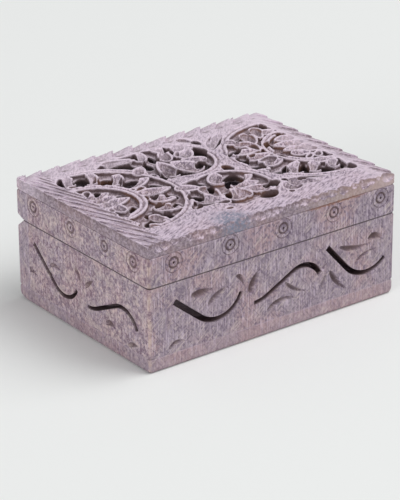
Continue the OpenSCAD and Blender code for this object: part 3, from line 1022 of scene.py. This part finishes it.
cutters = wall_cuts(FRONT, LONG_SLOTS, LONG_CUTS)
stone_strip("front_wall", 41, cutters)
cutters = wall_cuts(BACK, LONG_SLOTS, LONG_CUTS) + [back_bevel(BODY_BEVEL), *hinge_seats(*EYE_SEAT)]
stone_strip("back_wall", 87, cutters)
cutters = wall_cuts(LEFT, SHORT_SLOTS, SHORT_CUTS)
stone_strip("left_wall", 150, cutters, mottle=0.8)
cutters = wall_cuts(RIGHT, SHORT_SLOTS, SHORT_CUTS) + [back_bevel(BODY_BEVEL)]
stone_strip("right_wall", 203, cutters, mottle=0.6)

cutters = [ring_marks(FRONT, LONG_MARKS)]
stone_strip("lid_front_rim", 262, cutters, cream=0.15, violet=0.95, rust=0.75, dirt=RING_DIRT_SHADE_DEPTH)
cutters = [ring_marks(BACK, LONG_MARKS), back_bevel(-LID_BEVEL), *hinge_seats(*EYE_ROOM)]
stone_strip("lid_back_rim", 318, cutters, dirt=RING_DIRT_SHADE_DEPTH)
cutters = [ring_marks(LEFT, SHORT_MARKS)]
stone_strip("lid_left_rim", 377, cutters, mottle=0.78, dirt=RING_DIRT_SHADE_DEPTH)
cutters = [ring_marks(RIGHT, SHORT_MARKS), back_bevel(-LID_BEVEL)]
stone_strip("lid_right_rim", 431, cutters, mottle=0.6, dirt=RING_DIRT_SHADE_DEPTH)

# %% [markdown]
# ## The pierced lid panel
#
# The panel is one slab of stone, carved right through: two fans of leaves at its ends, two buds
# between them, and solid corners. Between the stems the stone is sunk, so that stems and leaves
# stand over a bed. Each leaf is a pad that is scooped out, with a thin rim left round it. The
# gaps between the leaves are bored right through. Modelling every leaf as a solid of its own
# would leave its rims to chance, so the slab is worked as a carver would: beds, pads, scoops,
# gaps. Scoops and gaps are both tear-shaped, and only the gaps have upright walls.

# %% The tree of a bored gap
GAP_WIDTH = 0.8


def bored_gap_tree():
    """Tear-shaped posts with upright walls."""
    tree = GeometryTree("bored_gap", {"Blunt": 0.3, "Depth": 10.0})
    drum = tree.add("GeometryNodeMeshCylinder", {"Vertices": 28, "Radius": 1.0, "Depth": 2.0})
    gaps, root, (ux, uy, uz) = shaped_on_points(tree, drum)
    share = ux * ALMOST_HALF + 0.5
    aside = uy * (1 - share) ** tree.given("Blunt") * GAP_WIDTH * tree.attribute("width")
    up = uz * tree.given("Depth")
    return tree.close(tree.moved(gaps, along_reach(tree, root, share, aside, up)))


bored_gap = bored_gap_tree()
TOP_FACE = Matrix.Translation((0, 0, top_z))


def bored_gaps(rows, middle, depth):
    """Tear-shaped posts that reach a depth above and below a middle height."""
    vertices, numbers = cut_points([(*row[:6], 0.0) for row in rows])
    made = new_object("bored_gaps", vertices, attributes=numbers)
    use_tree(made, bored_gap, {"Depth": depth})
    return laid(made, Matrix.Translation((0, 0, middle)))


def apart(rows):
    """Sorts cuts into groups whose members don't touch one another."""
    groups = []
    for row in rows:
        x0, y0, x1, y1, width, bend = row[:6]
        room = width / 2 + abs(bend)
        box = (min(x0, x1) - room, min(y0, y1) - room, max(x0, x1) + room, max(y0, y1) + room)
        for group in groups:
            if all(box[0] > b[2] or b[0] > box[2] or box[1] > b[3] or b[1] > box[3] for _, b in group):
                group.append((row, box))
                break
        else:
            groups.append([(row, box)])
    return [[row for row, _ in group] for group in groups]


print("bored gap:", len(bored_gap.nodes), "nodes")

# %% Gaps bored through the panel
# Each gap: x and y of its fat root, x and y of its tip, width, bend to its left.
LEFT_FAN_GAPS = [
    (-42.9, 19.4, -40.0, 27.4, 2.2, 0.8), (-32.4, 25.6, -38.2, 16.4, 4.2, -0.5),
    (-25.6, 20.0, -32.6, 13.2, 3.8, -0.4), (-18.6, 13.6, -28.4, 8.6, 3.8, -0.3),
    (-15.0, 4.6, -21.2, 3.2, 5.2, 0.0), (-16.5, -4.5, -21.2, -6.6, 3.9, 0.0),
    (-21.4, -3.0, -27.2, -3.9, 2.0, 0.2), (-29.7, -10.6, -23.8, -11.6, 1.9, 1.3),
    (-22.9, -15.6, -20.2, -10.4, 3.0, 0.0), (-35.0, -15.8, -30.8, -12.4, 2.5, 0.3),
    (-32.2, -18.6, -26.2, -18.4, 3.4, 0.5), (-39.0, -18.8, -34.0, -22.6, 3.9, 0.4),
    (-41.9, -20.2, -39.6, -25.2, 2.4, -0.2),
]
LEFT_HEART_GAPS = [
    (-35.2, 12.3, -39.0, 8.0, 3.2, 0.0), (-30.0, 4.7, -34.4, 3.2, 3.2, 0.0),
    (-35.6, -9.4, -33.0, -4.0, 2.6, 0.0), (-43.0, -10.8, -39.4, -11.7, 2.9, 0.0),
]
BACK_BUD_GAPS = [
    (-12.2, 21.6, -23.4, 26.4, 5.6, -0.6), (-9.8, 17.6, -8.0, 23.6, 2.9, 0.2),
    (-10.6, 26.2, -7.6, 30.4, 2.2, 0.2), (-11.5, 14.3, -13.4, 9.8, 3.1, 0.0),
    (-10.3, 11.6, -12.4, 4.8, 2.7, 0.2), (-3.2, 3.8, -2.6, 11.6, 5.4, -0.3),
    (5.4, 6.6, 7.4, 13.6, 4.7, -0.2), (11.3, 15.8, 12.4, 23.4, 3.3, -0.4),
    (-3.9, 21.0, -3.3, 28.4, 2.2, 0.4), (4.3, 23.4, 3.5, 29.4, 1.8, -0.2),
    (15.0, 28.0, 15.6, 23.0, 2.3, 0.0), (11.8, 1.2, 7.8, 0.8, 4.0, 0.0),
]
FRONT_BUD_GAPS = [
    (-3.3, -4.3, -10.2, -2.1, 3.4, -0.4), (-3.8, -6.2, -5.7, -11.8, 2.3, 0.3),
    (9.7, -3.0, 0.8, -11.6, 5.6, 0.5), (-11.2, -10.6, -16.6, -13.5, 4.3, 0.4),
    (-17.8, -18.7, -11.2, -20.9, 3.4, 0.5), (-17.0, -18.4, -20.8, -21.3, 2.8, 0.3),
    (-5.3, -18.2, -1.6, -13.9, 2.7, 0.0), (2.2, -26.2, 11.2, -23.8, 4.7, -0.5),
    (13.3, -15.4, 12.2, -21.8, 5.2, 0.3), (-9.6, -27.3, -12.4, -27.2, 1.3, 0.0),
    (17.9, -18.0, 18.9, -20.6, 1.6, 0.0), (13.1, -28.4, 15.2, -28.2, 1.4, 0.0),
]
RIGHT_FAN_GAPS = [
    (28.4, 20.8, 31.0, 16.2, 3.9, 0.3), (35.0, 24.4, 36.9, 19.4, 2.7, 0.4),
    (42.2, 21.6, 44.4, 26.8, 2.3, 0.0), (24.6, 13.1, 17.8, 10.4, 2.9, -0.2),
    (20.4, 6.1, 16.4, 1.9, 4.0, 0.4), (20.2, -1.3, 17.4, -6.9, 5.0, 0.4),
    (22.8, -9.2, 22.2, -15.0, 5.8, 0.0), (25.0, -10.2, 29.4, -6.6, 1.4, 0.0),
    (28.2, -17.9, 34.0, -9.6, 3.0, 0.0), (35.4, -21.4, 38.0, -15.2, 4.7, 0.3),
    (41.8, -20.0, 44.4, -16.6, 2.0, 0.0), (42.3, -25.4, 45.2, -20.6, 2.8, -0.2),
]
RIGHT_HEART_GAPS = [
    (32.4, 3.2, 32.4, -3.6, 3.1, -0.2), (36.4, 11.5, 31.8, 7.4, 2.5, 0.0),
    (44.5, 14.6, 41.2, 16.3, 1.8, 0.0), (35.4, -7.5, 36.5, -5.4, 1.6, 0.0),
    (42.4, -11.2, 43.6, -10.2, 1.2, 0.0), (44.3, -11.8, 45.4, -10.6, 1.2, 0.0),
]
GAPS = LEFT_FAN_GAPS + LEFT_HEART_GAPS + BACK_BUD_GAPS + FRONT_BUD_GAPS + RIGHT_FAN_GAPS
GAPS += RIGHT_HEART_GAPS
print(len(GAPS), "bored gaps")

# %% Leaves scooped into the panel
# Each scoop: root and tip as before, width, bend to its left, depth.
LEFT_FAN_SCOOPS = [
    (-40.9, 20.6, -38.0, 26.8, 3.0, 0.0, 1.3), (-34.8, 18.0, -29.8, 24.2, 3.6, 0.0, 1.2),
    (-33.0, 17.8, -29.2, 22.6, 1.3, 0.0, 2.2), (-29.8, 13.0, -23.2, 17.8, 3.8, 0.0, 1.1),
    (-26.8, 12.0, -22.4, 16.8, 1.3, 0.0, 2.0), (-26.8, 7.4, -17.2, 9.8, 3.0, 0.2, 1.0),
    (-22.4, 4.5, -26.6, 2.7, 1.9, 0.0, 1.6), (-26.4, 0.5, -16.4, -0.9, 2.8, -0.3, 0.9),
    (-26.0, -6.0, -20.2, -8.8, 3.0, 0.2, 1.1), (-29.0, -12.3, -23.8, -16.4, 3.6, 0.4, 1.5),
    (-34.6, -17.6, -32.4, -21.8, 2.2, -0.3, 1.2), (-39.4, -22.6, -36.6, -25.6, 1.6, 0.0, 1.0),
]
HEART_SCOOPS = [
    (-42.2, 7.0, -35.6, 7.2, 2.4, -0.3, 1.0), (-39.7, 12.3, -42.4, 8.0, 1.9, 0.0, 1.4),
    (-42.3, 3.0, -35.2, 3.4, 2.7, 0.3, 0.9), (-42.3, -1.2, -32.4, -0.3, 2.9, 0.3, 0.9),
    (-39.5, -7.6, -38.2, -2.4, 2.4, 0.2, 1.1), (-42.4, -6.8, -41.6, -3.6, 1.6, 0.0, 1.0),
    (44.6, 9.8, 39.4, 11.0, 3.0, 0.0, 0.9), (44.8, 4.8, 35.8, 7.0, 3.2, 0.3, 0.8),
    (44.8, 0.4, 36.0, 1.8, 3.0, 0.3, 0.8), (44.8, -2.6, 41.0, -2.0, 2.3, 0.0, 1.0),
    (41.0, -9.1, 44.4, -5.5, 1.9, 0.0, 1.5), (37.1, -8.7, 41.0, -6.1, 1.4, 0.0, 1.8),
    (38.0, -12.4, 43.8, -13.2, 2.1, 0.2, 0.9), (36.2, -2.4, 40.2, -4.6, 2.4, 0.2, 0.8),
]
BUD_SCOOPS = [
    (-8.0, 6.4, -5.8, 18.6, 3.6, -0.3, 1.9), (0.8, 5.4, -1.6, 15.8, 5.8, -0.4, 1.3),
    (-2.0, 19.2, 1.6, 26.8, 2.5, 0.0, 1.5), (2.7, 19.2, 6.0, 24.0, 1.4, 0.0, 1.2),
    (6.0, 24.2, 11.0, 27.6, 2.7, 0.4, 0.9), (-21.0, 28.8, -11.4, 26.9, 2.8, -0.7, 1.3),
    (12.2, 31.4, 14.4, 27.2, 2.1, 0.0, 1.2), (8.6, 12.6, 3.0, 16.0, 2.4, 0.4, 0.9),
    (-7.6, -8.2, -7.7, -17.0, 3.0, 0.3, 1.7), (-14.8, -14.7, -7.8, -20.6, 3.8, 0.7, 1.1),
    (-8.0, -22.3, -11.8, -20.1, 2.1, 0.0, 1.8), (-3.8, -22.2, -1.3, -15.4, 4.2, 0.2, 1.4),
    (0.5, -22.0, 1.0, -15.2, 2.8, 0.0, 1.3), (9.8, -20.9, 3.4, -17.1, 3.2, 0.2, 1.2),
    (5.4, -21.4, 4.2, -17.8, 1.6, 0.0, 1.6), (-0.8, -7.8, 3.0, -0.8, 3.2, 0.2, 1.4),
    (3.4, -10.6, 11.6, -9.0, 3.0, 0.3, 0.8), (1.8, -13.6, 9.6, -14.6, 3.2, 0.3, 0.9),
    (4.4, 17.6, 9.6, 22.4, 2.9, 0.3, 1.0), (3.0, 26.0, -0.4, 29.4, 2.2, 0.2, 0.9),
    (-17.0, 14.6, -13.2, 18.6, 2.4, 0.2, 1.0), (-9.4, 24.4, -6.0, 29.0, 2.4, 0.0, 1.0),
    (-14.2, -3.6, -8.6, -7.4, 2.6, 0.2, 1.0),
]
RIGHT_FAN_SCOOPS = [
    (33.1, 21.6, 31.2, 13.4, 2.8, 0.3, 1.5), (39.3, 24.0, 36.2, 16.8, 2.6, 0.3, 1.5),
    (25.2, 15.2, 30.4, 13.0, 2.6, 0.3, 1.3), (28.9, 13.4, 28.5, 7.6, 2.2, 0.0, 2.0),
    (20.0, 9.2, 27.6, 7.6, 2.4, 0.3, 0.9), (25.2, 5.3, 21.2, 4.5, 1.4, 0.0, 1.6),
    (20.8, 2.2, 28.8, 2.6, 2.6, 0.2, 1.0), (28.0, -1.4, 22.4, -1.4, 2.6, 0.0, 1.6),
    (22.6, -5.0, 28.4, -4.4, 2.6, 0.3, 0.9), (25.6, -16.4, 31.4, -9.4, 3.4, 0.2, 1.2),
    (31.6, -18.8, 36.6, -12.4, 3.0, 0.2, 1.2), (31.4, -19.6, 36.6, -15.8, 1.1, 0.0, 1.9),
    (39.4, -19.4, 43.2, -14.2, 2.4, 0.2, 0.9), (23.6, 19.8, 27.4, 16.2, 2.4, 0.2, 1.0),
    (39.8, 18.6, 43.4, 19.4, 2.2, 0.2, 1.0), (17.6, -3.6, 20.2, -7.6, 2.1, 0.0, 1.0),
    (18.2, 7.6, 16.8, 12.4, 2.1, 0.0, 1.0),
]
CORNER_SCOOPS = [
    (17.0, 19.2, 27.6, 28.0, 3.0, 0.0, 1.1), (15.7, 16.6, 28.2, 27.4, 1.3, -0.3, 3.8),
    (16.8, 21.7, 25.6, 29.8, 0.9, 0.0, 0.7), (19.2, -20.8, 26.8, -27.2, 3.4, 0.2, 1.3),
    (22.8, -20.2, 32.6, -26.3, 1.5, 0.2, 3.2), (17.4, -27.0, 16.5, -21.2, 4.2, 0.0, 1.7),
]
SCOOPS = LEFT_FAN_SCOOPS + HEART_SCOOPS + BUD_SCOOPS + RIGHT_FAN_SCOOPS + CORNER_SCOOPS
print(len(SCOOPS), "scoops")

# %% Beds that are sunk between the stems
FAN_Y = 1.5
FAN_RADIUS, HEART_RADIUS, BUD_RADIUS = 27.0, 15.0, 14.6
STEM = 2.8
BED = 1.7
left_fan, left_heart = Vector((-39.4, FAN_Y)), Vector((-42.8, FAN_Y))
right_fan, right_heart = Vector((42.2, FAN_Y)), Vector((45.6, FAN_Y))
back_bud, front_bud = Vector((-0.6, 16.1)), Vector((1.4, -13.1))


def fan_bed(fan, heart, turn):
    """The band between a fan's outer stem and the stem round its heart."""
    outer = arc(fan, FAN_RADIUS - STEM / 2, turn - 92, turn + 92)
    return outer + arc(heart, HEART_RADIUS + STEM / 2, turn + 88, turn - 88)


beds = [
    fan_bed(left_fan, left_heart, 0),
    fan_bed(right_fan, right_heart, 180),
    arc(left_heart, HEART_RADIUS - STEM / 2, -88, 88),
    arc(right_heart, HEART_RADIUS - STEM / 2, 92, 268),
    [
        *arc(left_fan, FAN_RADIUS + STEM / 2, 62, 6),
        *arc(back_bud, BUD_RADIUS - STEM / 2, -115, 66),
        Vector((-4.0, 30.4)), Vector((-12.0, 30.0)), Vector((-20.0, 30.4)),
    ],
    [
        *arc(left_fan, FAN_RADIUS + STEM / 2, -6, -46),
        Vector((-12.4, -21.6)), Vector((-8.6, -24.6)), Vector((-5.0, -27.4)),
        *arc(front_bud, BUD_RADIUS - STEM / 2, -80, 120),
    ],
]
print(len(beds), "beds sunk by", BED, "mm")

# %% Leaves, pads and stem grooves
RIM = 0.5
LEAF_WIDTH = 2
LEAF_SPREAD, LEAF_LONGER = 0.5, 0.9
PAD_SHRINK, PAD_LONGER = 0.2, 0.45
GROOVE_WIDTH, GROOVE_DEPTH = 0.9, 1.0


def grown(row, wider, longer):
    """A cut made wider, and longer at both ends."""
    root, tip = Vector(row[0:2]), Vector(row[2:4])
    past = (tip - root).normalized() * longer
    return (*(root - past), *(tip + past), row[4] + wider, *row[5:])


def stem_groove(centre, radius, start, end):
    """The path of a groove along the middle of a stem."""
    return [(p.x, p.y, GROOVE_WIDTH) for p in arc(centre, radius, start, end)]


leaves = [
    grown(row, LEAF_SPREAD * row[4], LEAF_LONGER) if row[4] > LEAF_WIDTH else row
    for row in SCOOPS
]
pads = [grown(row, 2 * RIM - PAD_SHRINK * row[4], PAD_LONGER) for row in leaves]
fan_grooves = [
    stem_groove(left_fan, FAN_RADIUS, -84, 84),
    stem_groove(left_heart, HEART_RADIUS, -84, 84),
    stem_groove(right_fan, FAN_RADIUS, 96, 264),
    stem_groove(right_heart, HEART_RADIUS, 96, 264),
]
bud_grooves = [
    stem_groove(back_bud, BUD_RADIUS, -80, 60),
    stem_groove(front_bud, BUD_RADIUS, -50, 100),
]
print(len(pads), "pads and", len(fan_grooves + bud_grooves), "stem grooves")

# %% [markdown]
# ## Carving the slab
#
# The slab starts as a worn strip, like the walls. The pads end a hair under its top, because
# two faces in one plane would trouble the solver. After all the cuts, a voxel remesh gives the
# whole panel one even skin: it rounds every edge a little, as rubbing down does, and it leaves
# points everywhere for the wear that comes later. A bevel would fail on carving this dense.

# %% Carve the slab and round its edges
VOXEL = 0.3
HAIR = 0.02
panel_low, panel_high = corners_mm("lid_panel")
panel = new_object("stone_lid_panel")
use_tree(panel, worn_strip, {
    "Low": panel_low,
    "High": panel_high,
    "Chip Radius": 0.5,
    "Seed": 512.0,
})
cut_away(panel, [plate("bed", outline, top_z - BED, top_z + PAST) for outline in beds])
middle, half = (PANEL_Z + top_z) / 2, (top_z - PANEL_Z) / 2
cut_away(panel, [bored_gaps(rows, middle, half - HAIR) for rows in apart(pads)], "UNION")
cutters = [chisel_cuts(TOP_FACE, rows) for rows in apart(leaves)]
cutters += [sawn_slots(TOP_FACE, paths, GROOVE_DEPTH) for paths in (fan_grooves, bud_grooves)]
cutters += [bored_gaps(rows, middle, 2 * half) for rows in apart(GAPS)]
print(len(cutters), "rounds of carving")
cut_away(panel, cutters)
skin = panel.modifiers.new("skin", "REMESH")
skin.mode = "VOXEL"
skin.voxel_size = VOXEL
settle(panel)
print("skin of", len(panel.data.polygons), "faces")

# %% [markdown]
# ## The border of the lid
#
# Round the openwork the border is dressed with a flat chisel. Its strokes overlap like shingles:
# each has a floor that slants across, from the surface at one side to a small step at the
# other, and runs out at its tip. On the left and right they lie almost along the border, and at
# the back they slant over the edge and leave it toothed. The front edge is only chipped. A
# V-shaped groove would show two slopes where the photo shows one slope and a step, so the
# cutter is a wedge. The strokes come after the worn skin, because they are still crisp.
# Neighbours overlap, so every second stroke is cut in a round of its own.

# %% The tree of a shingle stroke
LIFT = 0.05
RUN_OUT = 0.45


def shingle_tree():
    """Wedges with a slanting floor that runs out at the tip."""
    tree = GeometryTree("shingle", {"Side": 1.0, "Over": 2.0})
    counts = {"Size": (2, 2, 2), "Vertices X": 10, "Vertices Y": 3, "Vertices Z": 2}
    strokes, root, (ux, uy, uz) = shaped_on_points(tree, tree.add("GeometryNodeMeshCube", counts))
    share = ux * 0.5 + 0.5
    slant = uy * tree.given("Side") * 0.5 + 0.5
    floor_at = LIFT - tree.attribute("depth") * (1.001 - share) ** RUN_OUT * slant
    up = floor_at + (uz * 0.5 + 0.5) * (tree.given("Over") - floor_at)
    aside = uy * tree.attribute("width") * 0.5
    return tree.close(tree.moved(strokes, along_reach(tree, root, share, aside, up)))


shingle = shingle_tree()


def shingles(rows, side):
    """Strokes whose step is on their left for side 1 and on their right for side -1."""
    vertices, numbers = cut_points(rows)
    made = new_object("shingles", vertices, attributes=numbers)
    use_tree(made, shingle, {"Side": float(side)})
    return laid(outward(settle(made)), TOP_FACE)


print("shingle:", len(shingle.nodes), "nodes")

# %% Strokes of the back border
SEED = 7
draw = random.Random(SEED)


def back_strokes():
    """Broad strokes that slant over the back edge."""
    count, first, pitch = 14, -46.0, 7.3
    lean, reach = 3.4, 7.0
    for i in range(count):
        x = first + pitch * i + draw.uniform(-0.7, 0.7)
        width = draw.uniform(4.2, 6.4)
        depth = draw.uniform(1.2, 1.8)
        yield (x + lean, high_y + 1.5, x - lean, high_y - reach, width, 0.0, depth)


def back_notches():
    """Nicks that leave the back edge toothed."""
    x = -48.0
    while x < high_x:
        reach = draw.uniform(0.6, 2.0)
        width = draw.uniform(0.6, 1.4)
        depth = draw.uniform(0.6, 1.2)
        yield (x + 1.2, high_y + 0.8, x - 0.4, high_y - reach, width, 0.0, depth)
        x += draw.uniform(1.6, 4.0)


broad, notches = list(back_strokes()), list(back_notches())
print(len(broad), "strokes and", len(notches), "notches at the back")

# %% Strokes of the ends and chips of the front
def left_strokes():
    """Long strokes that leave the left edge at a low angle, steeper towards the front."""
    count, first, pitch = 13, 60.0, 8.0
    border, longest, depth = 8.4, 38.0, 0.42
    x = low_x - 0.5
    for i in range(count):
        y = first - pitch * i + draw.uniform(-0.8, 0.8)
        angle = 14 + 0.8 * i
        way = polar(min(longest, border / math.sin(math.radians(angle))), angle - 90)
        yield (x, y, x + way.x, y + way.y, pitch * way.x / way.length, 0.2, depth)


def right_strokes():
    """Strokes that reach the right edge at a low angle."""
    count, first, pitch = 12, 33.0, 8.2
    length, angle, depth = 14.0, 116, 1.0
    x = high_x + 0.7
    way = polar(length, angle)
    for i in range(count):
        y = first - pitch * i + draw.uniform(-0.6, 0.6)
        yield (x, y, x + way.x, y + way.y, -pitch * way.x / way.length, 0.0, depth)


def front_chips():
    """Small chips along the front edge."""
    x = low_x + 1.0
    while x < high_x:
        size = draw.uniform(0.5, 1.4)
        tip = x + draw.uniform(-0.8, 0.8)
        yield (x, low_y - 0.9, tip, low_y + 1.8 * size, 4.8 * size, 0.0, 1.5 * size)
        x += draw.uniform(2.2, 5.0)


def every_second(rows):
    """Rows in two rounds, so that neighbours are never cut together."""
    return rows[0::2], rows[1::2]


sides = [(broad, -1), (notches, -1), (list(left_strokes()), 1), (list(right_strokes()), -1)]
chips = list(front_chips())
strokes = [shingles(rows, side) for strip, side in sides for rows in every_second(strip)]
strokes += [chisel_cuts(TOP_FACE, rows) for rows in every_second(chips)]
cut_away(panel, strokes)
print(len(strokes), "rounds of strokes, and", len(chips), "chips along the front")

# %% [markdown]
# ## Wear and relief on the panel
#
# Raised rims are painted pale, as rubbed wear and as painted highlight, and hollows are painted
# dark, as dirt and as painted shade. A shader alone can't tell a rim from a hollow, so this is
# measured on the mesh. The points are blurred, which draws them inwards at a rim and outwards in
# a hollow. How far a point stands out from its blurred place is kept as an attribute, and so is
# how flat the surface lies there. Small dents roughen the skin. Last, the mesh is thinned so
# that other programs can load it, and held inside its slab.

# %% Roughen the skin, measure its relief and thin the mesh
MOST_TRIANGLES = 190000
BLUR_ROUNDS = 8
ROUGH = 0.22


def worn_panel_tree():
    """Roughens the skin and stores where it stands out and where it lies flat."""
    tree = GeometryTree("worn_panel", {"Rough": ROUGH})
    here = tree.position()
    blur = {"Value": here, "Iterations": BLUR_ROUNDS}
    near = tree.add("GeometryNodeBlurAttribute", blur, data_type="FLOAT_VECTOR")
    normal = tree.add("GeometryNodeInputNormal")
    out = tree.vector("DOT_PRODUCT", tree.vector("SUBTRACT", here, near), normal, out="Value")
    stored = tree.store(tree.given("Geometry"), "worn", out, "FLOAT")
    stored = tree.store(stored, "flat", tree.parts(normal)[2], "FLOAT")
    dent = (tree.noise(here, 0.9, 4) - 0.6).least(-0.1) * tree.given("Rough")
    moved = tree.vector("ADD", here, tree.scaled(normal, dent))
    return tree.close(tree.moved(stored, moved))


use_tree(panel, worn_panel_tree(), {"Rough": ROUGH})
settle(panel)
triangles = sum(len(p.vertices) - 2 for p in panel.data.polygons)
thin = panel.modifiers.new("thin", "DECIMATE")
thin.ratio = min(1.0, MOST_TRIANGLES / triangles)
settle(panel)
for vertex in panel.data.vertices:
    vertex.co = [min(max(c, a), b) for c, a, b in zip(vertex.co, panel_low, panel_high)]
print("panel thinned from", triangles, "triangles")

# %% [markdown]
# ## Finish of the panel
#
# The top was filed after it was carved, so it is paler and dustier than the walls. It is also
# painted paler towards the back and the right: painted light, as from a lamp at the back right.
# File strokes are noises drawn out along one way: they slant over the leaves, lie along the ends
# and sweep over the front border. Scoops, deep hollows and the walls of the gaps are painted dark
# brown, as old dirt and as painted shade, and the chipped front edge gets painted shade too. Rims
# are painted pale, as rubbed wear and as painted highlight, and one slate patch lies over the
# front edge. Depth alone would also darken the flat underside, so it counts only where a face
# looks up or sideways.

# %% File strokes on the panel
SIDE_BORDER = (6, 8)
FRONT_BORDER = (9, 12)
OPENWORK = (4.4, 5.4)


def drawn_out(stone, across, along, level):
    """A noise that is stretched along one way, like the strokes of a file."""
    return stone.tree.noise(stone.tree.joined(across, along, level), 1, 3, 0.7)


def file_strokes(stone, from_side, front_border, top):
    """Strokes that slant over the leaves, lie along the ends and sweep over the front."""
    across = stone.x * 0.8 - stone.y * 0.6
    along = stone.x * 0.6 + stone.y * 0.8
    filed = drawn_out(stone, across * 1.3, along * 0.4, stone.z)
    across = stone.x * 0.93 + stone.y * 0.37
    combed = drawn_out(stone, across * 1.2, stone.y * 0.14, 0)
    filed = filed + (combed - filed) * (1 - from_side.rise(*SIDE_BORDER)) * top
    across = stone.x * 0.45 - stone.y * 0.89
    along = stone.x * 0.89 + stone.y * 0.45
    brushed = drawn_out(stone, across * 1.3, along * 0.28, stone.z)
    return filed + (brushed - filed) * front_border * 0.85


# %% Finish of the panel
def panel_finish():
    """Paler, dustier stone, paler still towards the back and right as painted light; pale on rims as
    wear and painted highlight; brown in scoops, hollows and on the walls of the gaps as dirt and
    painted shade.
    """
    stone = Stone("soapstone_lid_panel", shift=505, cream=0.3, violet=0.35)
    tree = stone.tree
    worn = tree.add("ShaderNodeAttribute", out="Fac", attribute_name="worn")
    flat = tree.add("ShaderNodeAttribute", out="Fac", attribute_name="flat")
    top = flat.rise(0.3, 0.8)
    deep = (top_z - stone.z) * flat.rise(-0.9, -0.5)
    from_side = (stone.x - low_x).least(high_x - stone.x)
    from_end = (stone.y - low_y).least(high_y - stone.y)
    inside = from_side.least(from_end).rise(*OPENWORK)
    wall = (1 - flat.rise(0.25, 0.75)) * deep.rise(0.1, 0.8) * inside
    front_border = 1 - (stone.y - low_y).rise(*FRONT_BORDER)
    front_border = front_border * from_side.rise(*SIDE_BORDER) * top
    filed = file_strokes(stone, from_side, front_border, top)
    speck = tree.noise(stone.place, 1.7, 2, 0.7)

    most = top * 0.5 + 0.5
    stone.tint(top * (1 - deep.rise(0.1, 0.9)) * 0.6, DUST)
    stone.tint(most * filed.rise(0.5, 0.58) * 0.8, DUST)
    stone.tint(most * (1 - filed.rise(0.4, 0.5)) * 0.8, VIOLET)
    spotted = most * (1 - front_border * 0.7)
    stone.tint(spotted * (1 - speck.rise(0.36, 0.48)) * 0.5, VIOLET)
    stone.tint(spotted * speck.rise(0.54, 0.66) * 0.5, CREAM)
    # Painted light: the top is painted paler towards the back and towards the right.
    stone.tint(most * stone.y.rise(14, 34) * 0.45, PALE)
    stone.tint(most * stone.x.rise(39, 46) * 0.45, PALE)

    # Painted shade under the chipped front edge: brown just below the top, broken by grain.
    painted_chip_shade = deep.rise(0.05, 0.3) * (1 - deep.rise(0.6, 1.6)) * stone.grain.rise(0.42, 0.55)
    outer_band = (1 - inside) * (1 - stone.y.rise(20, 29))
    stone.tint(outer_band * painted_chip_shade * 0.5, DIRT_AND_SHADE)
    # Faces of the outer band that don't look up are darker brown.
    stone.tint(outer_band * (1 - top) * 0.3, DIRT_AND_SHADE)
    # Painted shade with dirt: the openwork darkens the deeper it goes.
    stone.tint(deep.rise(0.6, 2.2) * inside * 0.42, DIRT_AND_SHADE)
    # Walls of the gaps: brown dirt and painted shade.
    stone.tint(wall * 0.8, DIRT_AND_SHADE)
    # Painted shade: the deepest parts of the openwork go nearly black.
    stone.tint(deep.rise(1.9, 2.8) * inside * 0.75, UMBER)
    stone.tint(wall * stone.cloud.rise(0.5, 0.62) * 0.5, RUST)
    # Painted shade with dirt where the surface sinks below its surroundings.
    stone.tint((0 - worn).rise(0.03, 0.2) * inside * 0.6, DIRT_AND_SHADE)
    # Painted highlight with rubbed wear on raised rims.
    stone.tint(worn.rise(0.02, 0.12) * (inside * 0.5 + 0.05), PALE)

    slate = stone.patch(x=-16, y=-35, near=2, far=10)
    stone.tint(slate * stone.grain.rise(0.34, 0.56) * 0.85, SLATE)
    front = (1 - top) * (1 - stone.y.rise(low_y + 0.5, low_y + 3))
    stone.tint(front * stone.x.rise(5, 30) * 0.35, TAN)
    stone.stain_joint(0.75)
    height = filed * 0.5 + stone.grain * 0.6 + speck * 0.5
    return stone.close(height, 0.66 + 0.15 * stone.fleck, 0.25)


dress(panel, "lid_panel", panel_finish())

# %% [markdown]
# ## Sizes
#
# The dressed box has to stay inside the imported one, which other programs use to place it. Both
# boxes are given in metres as the script's last value.

# %% Sizes
size = {"cad": cad_box, "visual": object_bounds()}
{title: [list(corner) for corner in box] for title, box in size.items()}
